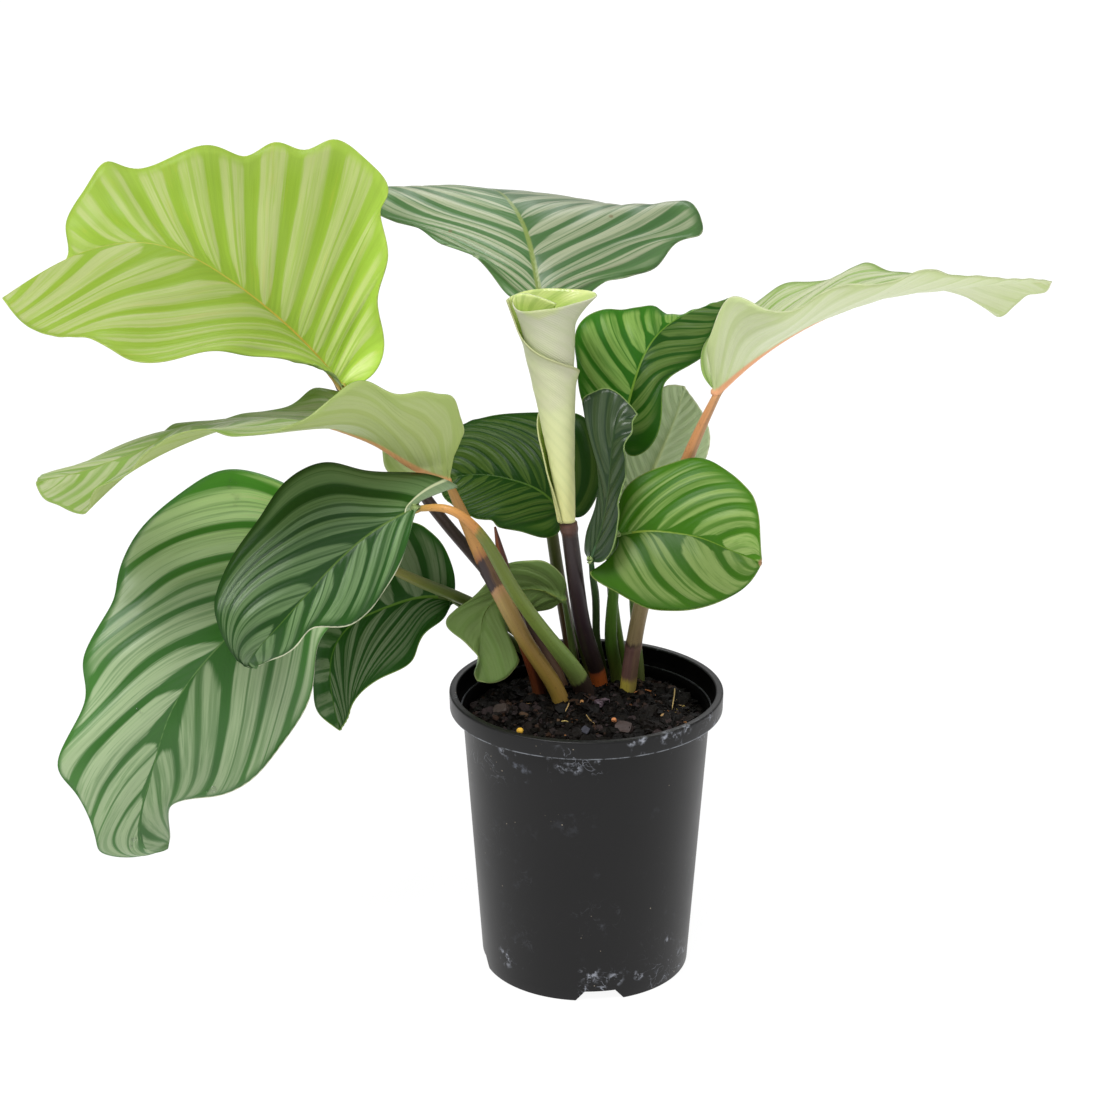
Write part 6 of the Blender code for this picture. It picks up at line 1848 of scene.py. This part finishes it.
class BitMaker:
    """Collects small closed shapes in one mesh, with a colour each where one is given."""

    def __init__(self, seed):
        self.points, self.faces, self.colours = [], [], []
        self.chance = random.Random(seed)

    def add(self, points, faces, colour):
        start = len(self.points)
        self.points += [tuple(p) for p in points]
        self.faces += [tuple(start + k for k in face) for face in faces]
        if colour:
            self.colours += [linear(colour)] * len(points)

    def chunk(self, centre, normal, size, turn, colour):
        """An angular chunk: a box with its corners pushed about, lying on a surface."""
        body = bmesh.new()
        bmesh.ops.create_cube(body, size=1.0)
        bmesh.ops.subdivide_edges(body, edges=body.edges, cuts=CHUNK_CUTS, use_grid_fill=True)
        for corner in body.verts:
            corner.co += Vector([self.chance.uniform(-CHUNK_PUSH, CHUNK_PUSH) for _ in range(3)])
            corner.co *= 1.0 - CHUNK_NARROWING * (abs(corner.co.x) + abs(corner.co.y)) ** 2
        self.place(body, centre, normal, size, turn, colour)

    def bead(self, centre, normal, size, uneven, below=1.0, colour=None):
        """A round bead, flatter below the surface by the share below."""
        body = bmesh.new()
        bmesh.ops.create_icosphere(body, subdivisions=BEAD_LEVEL, radius=0.5)
        for corner in body.verts:
            corner.co *= 1.0 + self.chance.uniform(-uneven, uneven)
            if corner.co.z < 0.0:
                corner.co.z *= below
        self.place(body, centre, normal, size, 0.0, colour)

    def place(self, body, centre, normal, size, turn, colour):
        """Set a body of size 1 on a surface: sized in mm, turned, and upright along the normal."""
        spin = np.array([[math.cos(turn), -math.sin(turn), 0.0], [math.sin(turn), math.cos(turn), 0.0],
                         [0.0, 0.0, 1.0]])
        upright = np.array(Vector(normal).to_track_quat("Z", "Y").to_matrix()) @ spin
        points = [centre + upright @ (np.array(v.co) * np.array(size) * MM) for v in body.verts]
        self.add(points, [[v.index for v in face.verts] for face in body.faces], colour)
        body.free()

    def strand(self, places, thick, colour):
        """A thin fibre through some points, tapered at both ends."""
        line = smooth_curve(places, STRAND_LAST + 1)
        ways = directions(line)
        points, faces = [line[0]], []
        for k in range(1, STRAND_LAST):
            across = unit(np.cross(ways[k], [0.3, -0.5, 0.8]))
            up = np.cross(ways[k], across)
            wide = 0.5 * thick * MM * min(1.0, 0.4 + 0.2 * min(k, STRAND_LAST - k))
            for j in range(STRAND_SIDES):
                turn = 2.0 * math.pi * j / STRAND_SIDES
                points.append(line[k] + wide * (math.cos(turn) * across + math.sin(turn) * up))
        points.append(line[-1])
        last = len(points) - 1
        for j in range(STRAND_SIDES):
            after = (j + 1) % STRAND_SIDES
            faces.append((0, 1 + after, 1 + j))
            faces.append((last, last - STRAND_SIDES + j, last - STRAND_SIDES + after))
            for low in range(1, last - STRAND_SIDES, STRAND_SIDES):
                high = low + STRAND_SIDES
                faces.append((low + j, low + after, high + after, high + j))
        self.add(points, faces, colour)

    def finish(self, name, material, smooth):
        """The collected shapes as one object, all faces pointing outwards."""
        thing = mesh_object(name, self.points, self.faces, [material], smooth=smooth)
        body = bmesh.new()
        body.from_mesh(thing.data)
        bmesh.ops.recalc_face_normals(body, faces=body.faces)
        body.to_mesh(thing.data)
        body.free()
        if self.colours:
            shades = thing.data.attributes.new(COLOUR_KEY, "FLOAT_COLOR", "POINT")
            shades.data.foreach_set("color", np.asarray(self.colours, np.float32).ravel())
        return thing


print("bit maker ready")

# %% Lay the single bits on the soil
# Chunks: x, y in the picture, length, width and height in mm, turn in degrees, colour
CHUNKS_SEEN = [
    (602, 705, 10.0, 8.0, 4.0, 20, (84, 70, 78)), (624, 731, 10.5, 9.0, 4.5, -12, (62, 50, 48)),
    (501, 712, 10.0, 8.0, 4.0, 35, (56, 45, 41)), (524, 717, 8.0, 4.0, 2.5, 10, (70, 50, 34)),
    (585, 733, 6.0, 5.0, 3.5, 50, (52, 52, 62)), (614, 721, 3.4, 2.4, 1.8, 15, (196, 128, 82)),
    (582, 704, 2.2, 5.5, 1.8, -15, (176, 128, 78)), (663, 716, 4.0, 2.0, 1.2, 30, (150, 118, 76)),
    (671, 722, 3.0, 1.6, 1.0, -20, (134, 104, 60)), (679, 701, 4.0, 1.6, 1.0, 10, (140, 116, 72)),
    (681, 697, 2.0, 1.6, 1.2, 0, (206, 204, 194)), (679, 692, 1.6, 1.2, 1.0, 40, (180, 178, 170)),
    (683, 707, 2.6, 1.4, 1.0, 25, (214, 190, 84)), (678, 710, 2.4, 1.4, 1.0, -30, (206, 176, 70)),
    (558, 722, 3.4, 2.0, 1.4, 60, (74, 56, 40)), (646, 708, 4.4, 3.2, 1.6, 12, (58, 44, 34)),
]
# Fibres: their thickness in mm, colour and places in the picture
FIBRES_SEEN = [
    (0.7, (176, 146, 96), [(569, 703), (568, 708), (565, 714), (562, 719)]),
    (0.8, (200, 178, 110), [(560, 724), (564, 723), (568, 724)]),
    (0.7, (170, 108, 62), [(632, 696), (638, 693), (646, 692), (652, 694), (656, 698)]),
    (0.6, (206, 200, 184), [(660, 664), (662, 670), (664, 676), (665, 681)]),
    (0.8, (186, 160, 104), [(671, 694), (674, 690), (677, 687)]),
    (0.7, (150, 124, 78), [(586, 716), (590, 722), (595, 726)]),
    (0.6, (162, 132, 84), [(664, 712), (670, 715), (677, 714)]),
]
# How far each lies above the place that the picture shows: a share of a chunk's height, and mm
CHUNK_LIFT = 0.4
FIBRE_LIFT = 1.4 * MM
BEAD_LIFT = 1.5 * MM
BEAD_SIZE = (4.3, 4.1, 3.9)
# Chunks lean a little towards the viewer
CHUNK_LEAN = np.array([0.0, -0.3, 1.0])
UP = np.array([0.0, 0.0, 1.0])

soil_at = line_of_sight(soil)
seen_bits = BitMaker(4)
for x, y, long, wide, high, turn, colour in CHUNKS_SEEN:
    point, normal = soil_at(x, y)
    seen_bits.chunk(point + CHUNK_LIFT * high * MM * UP, normal + CHUNK_LEAN, (long, wide, high),
                    math.radians(turn), colour)
for thick, colour, places in FIBRES_SEEN:
    seen_bits.strand([soil_at(x, y)[0] + FIBRE_LIFT * UP for x, y in places], thick, colour)
seen_bits.bead(soil_at(520, 733)[0] + BEAD_LIFT * UP, UP, BEAD_SIZE, 0.015, colour=(226, 176, 60))
seen_look, r, shader = new_material("single bits")
grit = r.noise(r.place(), 500.0, 4.0, 0.6)
veined = r.noise(r.stretched(r.place(), (1.0, 0.3, 0.6)), 700.0, 3.0, 0.6)
tone = r.add(0.55, r.times(r.add(grit, veined), 0.45))
finish_material(r, shader, r.toned(tone, r.kept(COLOUR_KEY, out=0)), r.add(0.4, r.times(grit, 0.4)),
                r.add(grit, veined), 0.3 * MM, 0.7, 0.3)
bits = seen_bits.finish("single_bits", seen_look, False)
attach(bits, "root")
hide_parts("soil")
print("single bits:", len(bits.data.polygons), "faces")

# %% [markdown]
# ## Drops of water
# Drops sit on the wet low left leaf. A drop is a low dome of clear water, so it is a bead that is flat where
# it touches the leaf, and its material lets the light through and bends it as water does.

# %% Hang the drops on the leaf
# Drops: x, y in the picture and width in mm
DROPS_SEEN = [(231, 480, 2.4), (236, 483, 1.8), (229, 487, 2.2), (233, 494, 1.8), (237, 498, 2.8),
              (235, 505, 1.8), (213, 789, 4.0), (207, 791, 1.8), (134, 839, 3.2), (131, 846, 2.0),
              (137, 709, 1.6), (141, 712, 1.4), (137, 743, 1.2)]
# A drop's length and height as shares of its width, and how flat it is towards the leaf
DROP_LENGTH = 1.15
DROP_HEIGHT = 0.88
DROP_BELOW = 0.2
WATER_IOR = 1.33

leaf_at = line_of_sight(blades["low_left"])
drops = BitMaker(9)
for x, y, wide in DROPS_SEEN:
    point, normal = leaf_at(x, y)
    drops.bead(point, normal, (wide, wide * DROP_LENGTH, wide * DROP_HEIGHT), 0.03, DROP_BELOW)
water_look, r, shader = new_material("water")
ripple = r.noise(r.place(), 300.0, 2.0)
finish_material(r, shader, WHITE, r.add(0.02, r.times(ripple, 0.04)), ripple, 0.05 * MM, 0.2)
shader.inputs["Transmission Weight"].default_value = 1.0
shader.inputs["IOR"].default_value = WATER_IOR
water = drops.finish("water_drops", water_look, True)
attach(water, "root")
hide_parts("leaf_low_left")
print("drops:", len(water.data.polygons), "faces")

# %% [markdown]
# ## Finish

# %% Finish
bpy.context.view_layer.update()
